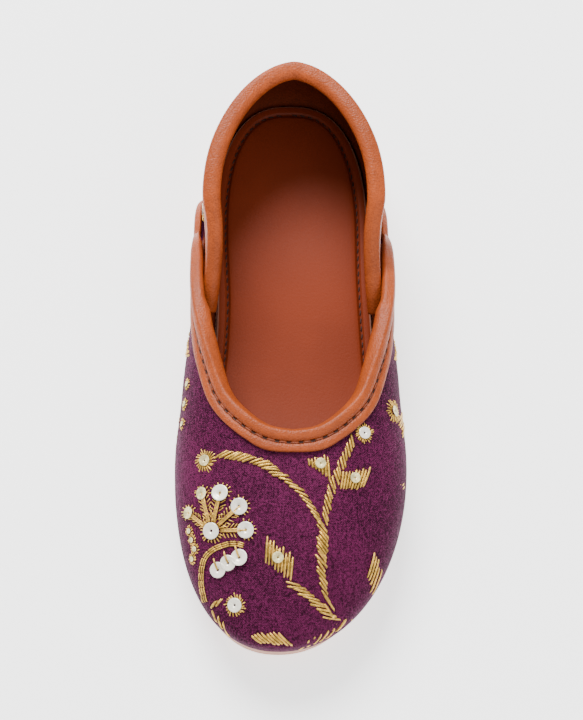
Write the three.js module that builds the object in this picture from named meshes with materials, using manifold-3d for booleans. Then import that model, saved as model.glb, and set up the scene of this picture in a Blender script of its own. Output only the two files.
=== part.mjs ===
// A child's mojari: a slip-on shoe with an embroidered cloth vamp lapped over cloth quarters, both edges
// bound in tan leather, on a moulded sole with a low ribbed heel. This is the left shoe. Millimetres, +Z
// up, toe towards -Y, medial side towards -X. The origin is on the floor, at the middle of the box.
import * as THREE from "three";
import { mergeVertices } from "three/addons/utils/BufferGeometryUtils.js";
import Module from "manifold-3d";

const wasm = await Module();
wasm.setup();

// Driving sizes of the last and the sole
const shoeLength = 168;
const ballWidth = 64.2;
const soleWidth = 57;
const instepHeight = 34.5;
const collarHeight = 46.5;
const toeInflare = 3.4;
const heelHeight = 8.6;
const soleThickness = 4.2;
const toeSpring = 4.5;
const heelTuck = 2.5;
const toeTuck = 2.3;
const rollHeight = 8.5;

// Driving sizes of the uppers, the insole and the bindings
const upperWall = 1.8;
const fitGap = 0.3;
const flapGap = 0.6;
const lapStep = 0.6;
const lapRoom = 1.5;
const lapSink = 1.5;
const insoleThickness = 3;
const bindingWidth = 6.8;
const flangeWidth = 2.8;
const bindingLeather = 0.8;
const beadSwell = 0.6;
const beadRise = 2;
const innerFlap = 4;

// Driving sizes of the sole's tread
const soleLip = 0.5;
const heelBreast = 45;
const breastSweep = 1.6;
const treadDepth = 0.8;
const heelRibPitch = 2.4;
const heelGroove = 1.0;
const foreRibPitch = 2.4;
const foreGroove = 0.9;
const foreRibMargin = 8;
const foreRibStart = 92;
const foreRibEnd = 10;
const panelLength = 20;
const panelWidth = 17;
const panelFrame = 1.4;

// Where the outline's round ends begin, as shares of the length, and how square each one is. The heel's end
// grows rounder towards the collar, and would be as round as ridgeRound on the ridge.
const heelCap = 0.28;
const toeCap = 0.68;
const upperRound = { heel: 2.4, toe: 2.15 };
const soleRound = { heel: 2.5, toe: 2.2 };
const ridgeRound = 1.2;
const rollShare = 0.25;
const rollTurn = (50 * Math.PI) / 180;
const spineStart = 0.24;
const spineEnd = 0.87;

// Where the waist has come down to the forefoot's level, and where the toe begins to rise
const waistEnd = 0.6;
const springStart = 0.77;

// The last, a row for each section: at is the share of the length from the heel, upper and sole are half
// widths as shares of half the ball's and the sole's width, arch is the share by which the sole's medial
// edge draws in, cone is the ridge as a share of the instep's height, and full is how square the section
// is.
const sections = [
  { at: 0, upper: 0.78, sole: 0.85, arch: 0, cone: 1.8, full: 1.75 },
  { at: 0.14, upper: 0.785, sole: 0.85, arch: 0, cone: 2.3, full: 2.0 },
  { at: 0.26, upper: 0.785, sole: 0.85, arch: 0.02, cone: 2.5, full: 2.3 },
  { at: 0.33, upper: 0.775, sole: 0.855, arch: 0.05, cone: 2.15, full: 2.4 },
  { at: 0.39, upper: 0.795, sole: 0.87, arch: 0.08, cone: 1.75, full: 2.4 },
  { at: 0.47, upper: 0.84, sole: 0.9, arch: 0.09, cone: 1.3, full: 2.45 },
  { at: 0.55, upper: 0.92, sole: 0.94, arch: 0.07, cone: 1.1, full: 2.5 },
  { at: 0.65, upper: 0.99, sole: 0.99, arch: 0.02, cone: 1.01, full: 2.5 },
  { at: 0.72, upper: 1, sole: 1, arch: 0, cone: 0.955, full: 2.4 },
  { at: 0.8, upper: 1, sole: 1, arch: 0, cone: 0.89, full: 2.4 },
  { at: 0.88, upper: 1, sole: 1, arch: 0, cone: 0.81, full: 2.4 },
  { at: 1, upper: 1, sole: 1, arch: 0, cone: 0.69, full: 2.4 },
];

// The cut edges, from the sole up: at runs as on the outline, 0 at the heel's back and 1 at the toe's tip.
// The quarters' edge has its height over the floor as a share of the collar's, and the vamp's has rise, the
// share of the way from the sole's edge, 0, to the last's ridge, 1.
const quarterEdge = [
  { at: 0.475, height: 0.14 },
  { at: 0.465, height: 0.32 },
  { at: 0.445, height: 0.48 },
  { at: 0.415, height: 0.61 },
  { at: 0.375, height: 0.71 },
  { at: 0.33, height: 0.81 },
  { at: 0.28, height: 0.9 },
  { at: 0.24, height: 0.95 },
  { at: 0.19, height: 0.985 },
  { at: 0.13, height: 1.0 },
  { at: 0.06, height: 1.0 },
  { at: 0.0, height: 1.0 },
];
const vampEdge = [
  { at: 0.243, rise: 0.02 },
  { at: 0.255, rise: 0.13 },
  { at: 0.275, rise: 0.22 },
  { at: 0.31, rise: 0.278 },
  { at: 0.35, rise: 0.32 },
  { at: 0.393, rise: 0.375 },
  { at: 0.44, rise: 0.455 },
  { at: 0.49, rise: 0.548 },
  { at: 0.54, rise: 0.635 },
  { at: 0.6, rise: 0.73 },
  { at: 0.641, rise: 0.84 },
  { at: 0.664, rise: 0.925 },
  { at: 0.672, rise: 1.0 },
];

// The cloth's ribs lean along the shoe: the one that ends at the vamp's throat starts here at the sole.
const vampFoot = 0.76;

// How finely the surfaces are cut into facets
const edgeSteps = 30;
const toeSteps = 12;
const riseSteps = 9;
const soleSteps = 40;
const soleColumns = 6;

const clamp01 = (x) => Math.min(1, Math.max(0, x));
const mix = (a, b, t) => a + (b - a) * t;
const smooth = (t) => t * t * (3 - 2 * t);

// A column of a table at a share of the length, through a cubic whose slope at each row follows its
// neighbours.
function column(table, name, at) {
  const last = table.length - 1;
  const x = Math.min(table[last].at, Math.max(table[0].at, at));
  let i = 0;
  while (i < last - 1 && x > table[i + 1].at) i++;
  const slope = (k) => {
    const a = table[Math.max(0, k - 1)];
    const b = table[Math.min(last, k + 1)];
    return (b[name] - a[name]) / (b.at - a.at);
  };
  const [p, q] = [table[i], table[i + 1]];
  const span = q.at - p.at;
  const t = (x - p.at) / span;
  const [t2, t3] = [t * t, t * t * t];
  return (
    (2 * t3 - 3 * t2 + 1) * p[name] +
    (t3 - 2 * t2 + t) * span * slope(i) +
    (3 * t2 - 2 * t3) * q[name] +
    (t3 - t2) * span * slope(i + 1)
  );
}

// Heights of the sole at a share of the length: its upper face, and its underside without the heel.
function soleTop(share) {
  const drop = smooth(clamp01((share - heelCap) / (waistEnd - heelCap)));
  const spring = clamp01((share - springStart) / (1 - springStart)) ** 2;
  return mix(heelHeight, soleThickness, drop) + toeSpring * spring;
}
const soleUnder = (share) => soleTop(share) - soleThickness;

// The plan outline: at runs from 0 at the heel's back to 1 at the toe's tip, and side is -1 medial, 1
// lateral. Returns x, and the distance from the heel's back along the shoe.
function outline(side, at, which, heelRound) {
  const form = which === "sole" ? soleRound : upperRound;
  const heel = 2 / (heelRound ?? form.heel);
  const drawn = which === "sole" && side < 0 ? column(sections, "arch", at) : 0;
  const half = ((1 - drawn) * (which === "sole" ? soleWidth : ballWidth)) / 2;
  let share = at;
  let narrowing = 1;
  if (at < heelCap) {
    const turn = (at / heelCap) * (Math.PI / 2);
    share = heelCap * (1 - Math.cos(turn) ** heel);
    narrowing = Math.sin(turn) ** heel;
  } else if (at > toeCap) {
    const turn = ((at - toeCap) / (1 - toeCap)) * (Math.PI / 2);
    share = toeCap + (1 - toeCap) * Math.sin(turn) ** (2 / form.toe);
    narrowing = Math.max(0, Math.cos(turn)) ** (2 / form.toe);
  }
  const along = which === "sole" ? mix(heelTuck, shoeLength - toeTuck, share) : shoeLength * share;
  const width = half * column(sections, which, Math.max(heelCap, share)) * narrowing;
  return { x: side * width + centreLine(share), along };
}

// The last's middle line bends to the medial side in front of the ball.
function centreLine(share) {
  return -toeInflare * clamp01((share - toeCap) / (1 - toeCap)) ** 2;
}

// A point of the upper's outer face: rise goes from 0 at the sole's edge, out to the widest line at
// rollShare, and over to the ridge at 1.
function lastPoint(side, at, rise) {
  const low = outline(side, at, "upper");
  const seat = outline(side, at, "sole");
  const seatHeight = (along) => soleTop(along / shoeLength) + fitGap;
  const wideHeight = (along) => seatHeight(along) + rollHeight;
  if (rise <= rollShare) {
    const turn = rollTurn * (1 - rise / rollShare);
    const tuck = (1 - Math.cos(turn)) / (1 - Math.cos(rollTurn));
    const down = Math.sin(turn) / Math.sin(rollTurn);
    const along = mix(low.along, seat.along, tuck);
    return new THREE.Vector3(
      mix(low.x, seat.x, tuck),
      -along,
      seatHeight(along) + rollHeight * (1 - down),
    );
  }
  const full = column(sections, "full", clamp01(low.along / shoeLength));
  const turn = ((rise - rollShare) / (1 - rollShare)) * (Math.PI / 2);
  const out = Math.max(0, Math.cos(turn)) ** (2 / full);
  const up = Math.sin(turn) ** (2 / full);
  const wide = outline(side, at, "upper", mix(upperRound.heel, ridgeRound, up));
  const spine = spineShare(at) * shoeLength;
  const along = mix(spine, wide.along, out);
  const x = mix(centreLine(spine / shoeLength), wide.x, out);
  const ridge = instepHeight * column(sections, "cone", along / shoeLength);
  const foot = wideHeight(along);
  return new THREE.Vector3(x, -along, foot + (ridge - foot) * up);
}

// The share of the length at which a rib of the last, started at a place on the outline, meets the ridge.
function spineShare(at) {
  if (at < heelCap) {
    const u = at / heelCap;
    return mix(spineStart, heelCap, u * u * u * (4 - 3 * u) * 0.5 + 0.5 * u * u);
  }
  if (at < toeCap) return at;
  const u = (at - toeCap) / (1 - toeCap);
  return mix(toeCap, spineEnd, 1 - (1 - u) ** 1.6);
}

// A chart place past the heel's back or the toe's tip lies on the other side.
function wrap(side, at) {
  if (at < 0) return [-side, -at];
  if (at > 1) return [-side, 2 - at];
  return [side, at];
}
const chartPoint = (side, at, rise) => lastPoint(...wrap(side, at), clamp01(rise));

// How the last's face runs at a place: the steps for a small change of at and of rise, and the outward
// normal. The normal never points down, so a wall's lower rim lies level on the sole.
const probe = 1e-3;
function faceFrame(sideIn, atIn, rise) {
  const [sideHere, at] = wrap(sideIn, atIn);
  const onRidge = rise > 1 - probe;
  const side = onRidge ? 1 : sideHere;
  const [r0, r1] = [Math.max(0, rise - probe), Math.min(1, rise + probe)];
  const [p0, p1] = [chartPoint(side, at - probe, rise), chartPoint(side, at + probe, rise)];
  const [q0, q1] = [chartPoint(side, at, r0), chartPoint(side, at, r1)];
  const alongStep = p1.sub(p0).divideScalar(2 * probe);
  const riseStep = q1.sub(q0).divideScalar(r1 - r0);
  const normal = riseStep.clone().cross(alongStep).multiplyScalar(side);
  if (onRidge || at < probe || at > 1 - probe) normal.x = 0;
  normal.z = Math.max(0, normal.z);
  return { alongStep, riseStep, normal: normal.normalize() };
}
const facePoint = (side, at, rise, lift) =>
  chartPoint(side, at, rise).addScaledVector(faceFrame(side, at, rise).normal, lift);

// The vamp laps over the quarters. Low down it lies on them, lapStep thick. Towards its edge, where the
// quarters' binding runs in under it, the quarters lean in by lapSink and the vamp stands clear of them by
// lapRoom.
const lapOver = { from: 0.45, to: 0.62 };
const lapRise = { from: 0.11, to: 0.34 };
const lapReach = { from: 0.27, to: 0.34 };
const sinkReach = { from: 0.2, to: 0.37 };
const ramp = (range, x) => smooth(clamp01((x - range.from) / (range.to - range.from)));
function lapLift(at, rise) {
  const over = upperWall + lapRoom - lapSink;
  return (1 - ramp(lapOver, at)) * mix(lapStep, over, lapOpen(at, rise));
}
const lapOpen = (at, rise) => ramp(lapRise, rise) * ramp(lapReach, at);
const quarterLift = (at, rise) => -lapSink * ramp(lapRise, rise) * ramp(sinkReach, at);

// A closed mesh from quads of points. Corners that meet are merged, and triangles that fold to a line left
// out.
const mergeReach = 1e-3;
function meshFromQuads(quads) {
  const positions = [];
  for (const [a, b, c, d] of quads) {
    const short = a.distanceTo(c) <= b.distanceTo(d);
    const corners = short ? [a, b, c, a, c, d] : [a, b, d, b, c, d];
    for (const corner of corners) positions.push(corner.x, corner.y, corner.z);
  }
  const loose = new THREE.BufferGeometry();
  loose.setAttribute("position", new THREE.Float32BufferAttribute(positions, 3));
  const merged = mergeVertices(loose, mergeReach);
  const kept = [];
  const index = merged.index.array;
  for (let i = 0; i < index.length; i += 3) {
    const [a, b, c] = index.slice(i, i + 3);
    if (a !== b && b !== c && a !== c) kept.push(a, b, c);
  }
  merged.setIndex(kept);
  return merged;
}

// A solid between two grids of points, both read [row][column]. Where joined(row) is true, the last column
// meets its mirror image and needs no rim.
function slabMesh(outer, inner, joined = () => false) {
  const quads = [];
  const rows = outer.length - 1;
  const cols = outer[0].length - 1;
  for (let i = 0; i < rows; i++) {
    for (let j = 0; j < cols; j++) {
      quads.push([outer[i][j], outer[i + 1][j], outer[i + 1][j + 1], outer[i][j + 1]]);
      quads.push([inner[i][j], inner[i][j + 1], inner[i + 1][j + 1], inner[i + 1][j]]);
    }
    quads.push([outer[i + 1][0], outer[i][0], inner[i][0], inner[i + 1][0]]);
    if (!joined(i)) {
      quads.push([outer[i][cols], outer[i + 1][cols], inner[i + 1][cols], inner[i][cols]]);
    }
  }
  for (let j = 0; j < cols; j++) {
    quads.push([outer[0][j], outer[0][j + 1], inner[0][j + 1], inner[0][j]]);
    quads.push([outer[rows][j + 1], outer[rows][j], inner[rows][j], inner[rows][j + 1]]);
  }
  return meshFromQuads(quads);
}

// A solid swept through rings of points, each ring turning clockwise about the way ahead. Its ends are
// closed like the first and last of the flat sections.
function sweptMesh(rings, sections) {
  const quads = [];
  const last = rings.length - 1;
  const count = rings[0].length;
  for (let i = 0; i < last; i++) {
    for (let j = 0; j < count; j++) {
      const k = (j + 1) % count;
      quads.push([rings[i][j], rings[i + 1][j], rings[i + 1][k], rings[i][k]]);
    }
  }
  for (const end of [0, last]) {
    const faces = THREE.ShapeUtils.triangulateShape([...sections[end]], []);
    const turns = THREE.ShapeUtils.isClockWise(sections[end]) === (end === last);
    for (const face of faces) {
      const [a, b, c] = face.map((i) => rings[end][i]);
      quads.push(turns ? [a, b, c, c] : [a, c, b, b]);
    }
  }
  return meshFromQuads(quads);
}

const solidOf = (geometry) =>
  new wasm.Manifold(
    new wasm.Mesh({
      numProp: 3,
      vertProperties: geometry.attributes.position.array,
      triVerts: new Uint32Array(geometry.index.array),
    }),
  );

// A cut edge as stops { at, rise } along a smooth curve through its table.
function edgeStops(table, steps) {
  const rise = (row) => row.rise ?? riseAt(row.at, row.height * collarHeight);
  const curve = new THREE.SplineCurve(table.map((row) => new THREE.Vector2(row.at, rise(row))));
  return curve.getPoints(steps).map((p) => ({ at: Math.max(0, p.x), rise: clamp01(p.y) }));
}

// The rise at which the last's face reaches a height over the floor, by halving.
function riseAt(at, height) {
  let [low, high] = [0, 1];
  for (let i = 0; i < 30; i++) {
    const middle = (low + high) / 2;
    if (lastPoint(1, at, middle).z < height) low = middle;
    else high = middle;
  }
  return (low + high) / 2;
}

// Stops for one side made into a walk round both, from the lateral lower end to the medial one.
function bothSides(stops) {
  const lateral = stops.map((stop) => ({ side: 1, ...stop }));
  const medial = stops.slice(0, -1).map((stop) => ({ side: -1, ...stop }));
  return [...lateral, ...medial.reverse()];
}

// A rib of a wall, from its foot on the sole's edge up to a stop. It leans along the shoe where the two
// differ.
const rib = ({ side, at, rise, foot }, lift) =>
  Array.from({ length: riseSteps + 1 }, (_, j) => {
    const t = j / riseSteps;
    const here = { at: mix(foot, at, t), rise: rise * t };
    return facePoint(side, here.at, here.rise, lift(here.at, here.rise));
  });
const withFeet = (stops, from, to) =>
  stops.map((stop, i) => ({ ...stop, foot: mix(from, to, i / (stops.length - 1)) }));

// The quarters: one wall round the heel, from side to side.
function quarterMesh() {
  const walk = bothSides(withFeet(edgeStops(quarterEdge, edgeSteps), quarterEdge[0].at, 0));
  const face = (lift) => walk.map((stop) => rib(stop, (at, rise) => quarterLift(at, rise) + lift));
  return slabMesh(face(0), face(-upperWall));
}

// The vamp: one wall round the toe, closed over the ridge in front of its throat.
function vampMesh() {
  const behind = withFeet(edgeStops(vampEdge, edgeSteps), vampEdge[0].at, vampFoot);
  const throat = behind[behind.length - 1].at;
  const ahead = Array.from({ length: toeSteps }, (_, i) => {
    const t = (i + 1) / toeSteps;
    return { at: mix(throat, 1, t), rise: 1, foot: mix(vampFoot, 1, t) };
  });
  const walk = bothSides([...behind, ...ahead]).reverse();
  const face = (lift) => walk.map((stop) => rib(stop, (at, rise) => lapLift(at, rise) + lift));
  const ridgeFrom = behind.length - 1;
  const ridgeTo = walk.length - 1 - ridgeFrom;
  return slabMesh(face(0), face(-upperWall), (i) => i >= ridgeFrom && i < ridgeTo);
}

// One hollow upper. The largest body of the join is the upper, and the slivers caught between its two walls
// where they close on each other are filled.
function upperSolid() {
  const bodies = solidOf(quarterMesh()).add(solidOf(vampMesh())).decompose();
  return bodies.reduce((a, b) => (b.volume() > a.volume() ? b : a));
}

// A binding stays this far above the sole's edge, as a share of the way up the last.
const lowestRise = 0.012;

// A binding: leather folded over a cut edge, with a padded bead outside and a flat flange below the
// stitching. The ring's points are [depth below the edge, height over the wall's outer face].
function bindingMesh(walk, lift, room) {
  const places = walk.map(({ side, at, rise }) => facePoint(side, at, rise, lift(at, rise)));
  const sections = walk.map((stop) => bindingRing(room(stop)));
  const rings = walk.map((stop, i) => {
    const before = places[Math.max(0, i - 1)];
    const after = places[Math.min(places.length - 1, i + 1)];
    const tangent = after.clone().sub(before).normalize();
    const { alongStep, riseStep, normal } = faceFrame(stop.side, stop.at, stop.rise);
    const inward = tangent.clone().cross(normal).normalize();
    const [aa, ar, rr] = [alongStep.dot(alongStep), alongStep.dot(riseStep), riseStep.dot(riseStep)];
    const [ai, ri] = [alongStep.dot(inward), riseStep.dot(inward)];
    const det = aa * rr - ar * ar;
    const step = { at: (ai * rr - ri * ar) / det, rise: (ri * aa - ai * ar) / det };
    const point = ([depth, height]) => {
      if (depth <= 0) {
        return places[i].clone().addScaledVector(inward, depth).addScaledVector(normal, height);
      }
      const at = stop.at + step.at * depth;
      const rise = Math.min(1, Math.max(lowestRise, stop.rise + step.rise * depth));
      return facePoint(stop.side, at, rise, lift(at, rise) + height);
    };
    return sections[i].map(point);
  });
  return sweptMesh(
    rings,
    sections.map((section) => section.map(([x, y]) => new THREE.Vector2(x, y))),
  );
}

// The binding's section. Under is how far its inner side lies below the wall's outer face, swell how far
// the bead stands out, and flap how far the leather comes down inside. The bead's round corners are shares
// of its rise.
function bindingRing({ under, swell, flap }) {
  const face = fitGap;
  const inner = -under;
  const back = Math.min(face, inner + bindingLeather);
  const flat = face + bindingLeather;
  const out = flat + swell;
  const low = bindingWidth - beadRise;
  const bead = low - flangeWidth;
  return [
    [low, face],
    [low, flat],
    [bead + 0.15 * beadRise, flat],
    [bead - 0.25 * beadRise, out],
    [-0.25 * beadRise, out + 0.05 * beadRise],
    [-0.8 * beadRise, out - 0.35 * beadRise],
    [-beadRise, mix(inner, face, 0.5)],
    [-0.7 * beadRise, inner + 0.15 * beadRise],
    [-0.45 * beadRise, inner],
    [flap, inner],
    [flap, back],
    [-fitGap, back],
    [-fitGap, face],
  ];
}

// A solid between two heights over the plan, such as the sole: rows across the shoe, each with its place on
// the outline, and columns from the medial to the lateral edge. A row can sweep back in its middle.
function planSlab(rows, columns, edge, top, under) {
  const grid = (height) =>
    rows.map((row) =>
      Array.from({ length: columns + 1 }, (_, j) => {
        const [a, b] = [edge(-1, row.at), edge(1, row.at)];
        const across = j / columns;
        const sweep = (row.sweep ?? 0) * (1 - (2 * across - 1) ** 2);
        const along = (a.along + b.along) / 2 - sweep;
        return new THREE.Vector3(mix(a.x, b.x, across), -along, height(along, row));
      }),
    );
  return slabMesh(grid(top), grid(under));
}

// The plan outline pushed in by a distance, measured square to it.
function insetEdge(side, at, inset) {
  const here = outline(side, at, "sole");
  const on = (t) => {
    const [s, a] = wrap(side, t);
    return outline(s, a, "sole");
  };
  const [before, after] = [on(at - probe), on(at + probe)];
  const run = new THREE.Vector2(after.x - before.x, after.along - before.along).normalize();
  return { x: here.x - side * run.y * inset, along: here.along + side * run.x * inset };
}

const shareOf = (along) => along / shoeLength;

// Where a distance from the heel's back falls on the outline, by halving.
function atOf(along) {
  let [low, high] = [0, 1];
  for (let i = 0; i < 30; i++) {
    const middle = (low + high) / 2;
    if (outline(1, middle, "sole").along < along) low = middle;
    else high = middle;
  }
  return (low + high) / 2;
}

const box = (width, depth, height, x, y, z) => {
  const geometry = new THREE.BoxGeometry(width, depth, height).translate(x, y, z);
  geometry.deleteAttribute("normal");
  geometry.deleteAttribute("uv");
  return solidOf(mergeVertices(geometry));
};

// The sole: a slab with the last's bottom, a heel with a hollowed breast, ribs across heel and forefoot,
// and a framed panel under the waist.
function soleSolid() {
  const breastAt = atOf(heelBreast);
  const stops = Array.from({ length: soleSteps + 1 }, (_, i) => i / soleSteps);
  const clear = (at) => Math.abs(at - breastAt) > 0.5 / soleSteps;
  const rows = stops.filter(clear).map((at) => ({ at, heel: at < breastAt }));
  rows.push({ at: breastAt, heel: true, sweep: breastSweep });
  rows.push({ at: breastAt, heel: false, sweep: breastSweep });
  rows.sort((a, b) => a.at - b.at || Number(b.heel) - Number(a.heel));
  const edge = (side, at) => insetEdge(side, at, -soleLip);
  const top = (along) => soleTop(shareOf(along));
  const under = (along, row) => (row.heel ? 0 : soleUnder(shareOf(along)));
  const body = solidOf(planSlab(rows, soleColumns, edge, top, under));
  const cuts = [panelCut(body)];
  for (let along = heelRibPitch; along < heelBreast - heelRibPitch; along += heelRibPitch) {
    cuts.push(box(shoeLength, heelGroove, 2 * treadDepth, 0, -along, 0));
  }
  const last = shoeLength - foreRibEnd;
  for (let along = foreRibStart; along < last; along += foreRibPitch) {
    const [from, to] = [-1, 1].map((side) => insetEdge(side, atOf(along), foreRibMargin).x);
    const deep = soleUnder(shareOf(along)) + treadDepth;
    cuts.push(box(to - from, foreGroove, 2 * deep, (from + to) / 2, -along, 0));
  }
  return cuts.reduce((sole, cut) => sole.subtract(cut), body);
}

// A shallow frame, pressed into the underside by the tread's depth.
function panelCut(body) {
  const middle = (heelBreast + foreRibStart) / 2;
  const skin = body.translate([0, 0, treadDepth - soleThickness]);
  const tall = 2 * heelHeight;
  const outer = box(panelWidth, panelLength, tall, 0, -middle, 0);
  const inner = box(panelWidth - 2 * panelFrame, panelLength - 2 * panelFrame, 2 * tall, 0, -middle, 0);
  return skin.intersect(outer.subtract(inner));
}

function insoleSolid() {
  const rows = Array.from({ length: soleSteps + 1 }, (_, i) => ({ at: i / soleSteps }));
  const edge = (side, at) => insetEdge(side, at, upperWall + fitGap);
  const bottom = (along) => soleTop(shareOf(along)) + fitGap;
  const top = (along) => bottom(along) + insoleThickness;
  return solidOf(planSlab(rows, soleColumns, edge, top, bottom));
}

// The quarters' binding runs on under the vamp to where it is hidden, and its bead lies flatter there.
const foldDepth = upperWall + flapGap + bindingLeather;
const quarterBindingEnd = 0.434;
const beadFade = { from: 0.27, to: 0.32 };
function quarterBinding() {
  const stops = edgeStops(quarterEdge, edgeSteps * 2).filter((stop) => stop.at < quarterBindingEnd);
  const everyOther = stops.filter((_, i) => (stops.length - 1 - i) % 2 === 0);
  const room = ({ at }) => ({
    under: foldDepth,
    swell: beadSwell * (1 - ramp(beadFade, at)),
    flap: innerFlap,
  });
  return solidOf(bindingMesh(bothSides(everyOther), quarterLift, room));
}

// The vamp's binding runs from the sole on one side over the throat to the sole on the other. Where the
// vamp lies on the quarters it has no room to fold in, and it leaves room for their binding where that
// passes below.
const flapStart = { from: 0.47, to: 0.51 };
const flangeBelow = { from: 0.25, to: 0.31 };
const flangeGone = { from: 0.43, to: 0.46 };
function vampBinding() {
  const room = ({ at, rise }) => {
    const free = ramp(flapStart, at);
    const crossed = ramp(flangeBelow, at) * (1 - ramp(flangeGone, at));
    const below = fitGap + (fitGap + bindingLeather) * crossed;
    const apart = lapLift(at, rise) - quarterLift(at, rise);
    const lapped = Math.min(foldDepth, Math.max(fitGap, apart - below));
    return {
      under: mix(lapped, foldDepth, free),
      swell: beadSwell,
      flap: mix(-2 * fitGap, innerFlap, free),
    };
  };
  return solidOf(bindingMesh(bothSides(edgeStops(vampEdge, edgeSteps)).reverse(), lapLift, room));
}

const geometryOf = (solid) => {
  const mesh = solid.getMesh();
  const geometry = new THREE.BufferGeometry();
  geometry.setAttribute("position", new THREE.BufferAttribute(mesh.vertProperties, mesh.numProp));
  geometry.setIndex(new THREE.BufferAttribute(mesh.triVerts, 1));
  return geometry;
};

const materials = {
  rubber: new THREE.MeshStandardMaterial({ color: 0xd2ad98, roughness: 0.6, metalness: 0 }),
  sock: new THREE.MeshStandardMaterial({ color: 0xa8583c, roughness: 0.5, metalness: 0 }),
  cloth: new THREE.MeshStandardMaterial({ color: 0x5a2048, roughness: 0.85, metalness: 0 }),
  leather: new THREE.MeshStandardMaterial({ color: 0xc87f55, roughness: 0.5, metalness: 0 }),
};

const pieces = {
  outsole: [soleSolid(), materials.rubber],
  insole: [insoleSolid(), materials.sock],
  upper: [upperSolid(), materials.cloth],
  quarter_binding: [quarterBinding(), materials.leather],
  vamp_binding: [vampBinding(), materials.leather],
};

const shoe = new THREE.Group();
for (const [name, [solid, material]] of Object.entries(pieces)) {
  const mesh = new THREE.Mesh(geometryOf(solid), material);
  mesh.name = name;
  shoe.add(mesh);
}

// The origin moves to the floor, under the middle of the shoe's box.
const bounds = new THREE.Box3().setFromObject(shoe);
const middle = bounds.getCenter(new THREE.Vector3());
shoe.position.set(-middle.x, -middle.y, -bounds.min.z);
export default shoe;
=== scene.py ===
"""A child's mojari: plum cloth worked in metal thread and sequins, bound in tan leather, on a moulded sole."""

import math
import random
from bisect import bisect_left

import bmesh
import bpy
from bpy.props import FloatProperty, FloatVectorProperty, PointerProperty
from mathutils import Matrix, Vector
from mathutils.bvhtree import BVHTree
from mathutils.kdtree import KDTree


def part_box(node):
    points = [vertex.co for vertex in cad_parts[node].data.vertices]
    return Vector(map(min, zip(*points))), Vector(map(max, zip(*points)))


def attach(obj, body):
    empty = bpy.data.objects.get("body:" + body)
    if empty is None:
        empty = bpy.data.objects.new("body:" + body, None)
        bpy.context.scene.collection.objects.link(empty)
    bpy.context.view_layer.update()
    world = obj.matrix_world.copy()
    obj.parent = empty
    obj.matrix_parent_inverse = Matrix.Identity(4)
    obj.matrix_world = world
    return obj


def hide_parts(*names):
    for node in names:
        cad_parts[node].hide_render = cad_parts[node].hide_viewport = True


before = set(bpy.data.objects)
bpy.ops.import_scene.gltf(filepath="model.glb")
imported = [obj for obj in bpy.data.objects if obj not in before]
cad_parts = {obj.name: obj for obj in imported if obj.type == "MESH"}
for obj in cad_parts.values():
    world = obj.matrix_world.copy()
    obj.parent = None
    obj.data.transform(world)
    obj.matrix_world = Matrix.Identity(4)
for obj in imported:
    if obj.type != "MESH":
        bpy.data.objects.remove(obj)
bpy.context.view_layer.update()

bl_info = {
    "name": "Mojari",
    "version": (1, 0, 0),
    "blender": (4, 5, 0),
    "location": "View3D > Sidebar > Mojari",
    "description": "Dresses a child's mojari in cloth, leather, stitching and metal-thread work",
    "category": "Object",
}

MM = 0.001

# The last and the sole, in millimetres, as the solids have them.
SHOE_LENGTH = 168.0
BALL_WIDTH = 64.2
SOLE_WIDTH = 57.0
INSTEP_HEIGHT = 34.5
COLLAR_HEIGHT = 46.5
TOE_INFLARE = 3.4
HEEL_HEIGHT = 8.6
SOLE_THICKNESS = 4.2
TOE_SPRING = 4.5
HEEL_TUCK = 2.5
TOE_TUCK = 2.3
ROLL_HEIGHT = 8.5
UPPER_WALL = 1.8
FIT_GAP = 0.3
FLAP_GAP = 0.6
LAP_STEP = 0.6
LAP_ROOM = 1.5
LAP_SINK = 1.5
INSOLE_THICKNESS = 3.0
BINDING_LEATHER = 0.8
BEAD_SWELL = 0.6
SOLE_LIP = 0.5
HEEL_BREAST = 45.0
BREAST_SWEEP = 1.6
TREAD_DEPTH = 0.8
HEEL_RIBS = {"pitch": 2.4, "groove": 1.0}
FORE_RIBS = {"pitch": 2.4, "groove": 0.9, "margin": 8.0, "start": 92.0, "end": 158.0}
PANEL = {"length": 20.0, "width": 17.0, "frame": 1.4}
HEEL_CAP, TOE_CAP = 0.28, 0.68
UPPER_ROUND = {"heel": 2.4, "toe": 2.15}
SOLE_ROUND = {"heel": 2.5, "toe": 2.2}
RIDGE_ROUND = 1.2
ROLL_SHARE = 0.25
ROLL_TURN = math.radians(50)
SPINE_START, SPINE_END = 0.24, 0.87
WAIST_END, SPRING_START = 0.6, 0.77
SECTION_NAMES = ("at", "upper", "sole", "arch", "cone", "full")
SECTIONS = (
    (0.0, 0.78, 0.85, 0.0, 1.8, 1.75),
    (0.14, 0.785, 0.85, 0.0, 2.3, 2.0),
    (0.26, 0.785, 0.85, 0.02, 2.5, 2.3),
    (0.33, 0.775, 0.855, 0.05, 2.15, 2.4),
    (0.39, 0.795, 0.87, 0.08, 1.75, 2.4),
    (0.47, 0.84, 0.9, 0.09, 1.3, 2.45),
    (0.55, 0.92, 0.94, 0.07, 1.1, 2.5),
    (0.65, 0.99, 0.99, 0.02, 1.01, 2.5),
    (0.72, 1.0, 1.0, 0.0, 0.955, 2.4),
    (0.8, 1.0, 1.0, 0.0, 0.89, 2.4),
    (0.88, 1.0, 1.0, 0.0, 0.81, 2.4),
    (1.0, 1.0, 1.0, 0.0, 0.69, 2.4),
)
QUARTER_EDGE = (
    (0.475, 0.14),
    (0.465, 0.32),
    (0.445, 0.48),
    (0.415, 0.61),
    (0.375, 0.71),
    (0.33, 0.81),
    (0.28, 0.9),
    (0.24, 0.95),
    (0.19, 0.985),
    (0.13, 1.0),
    (0.06, 1.0),
    (0.0, 1.0),
)
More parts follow.
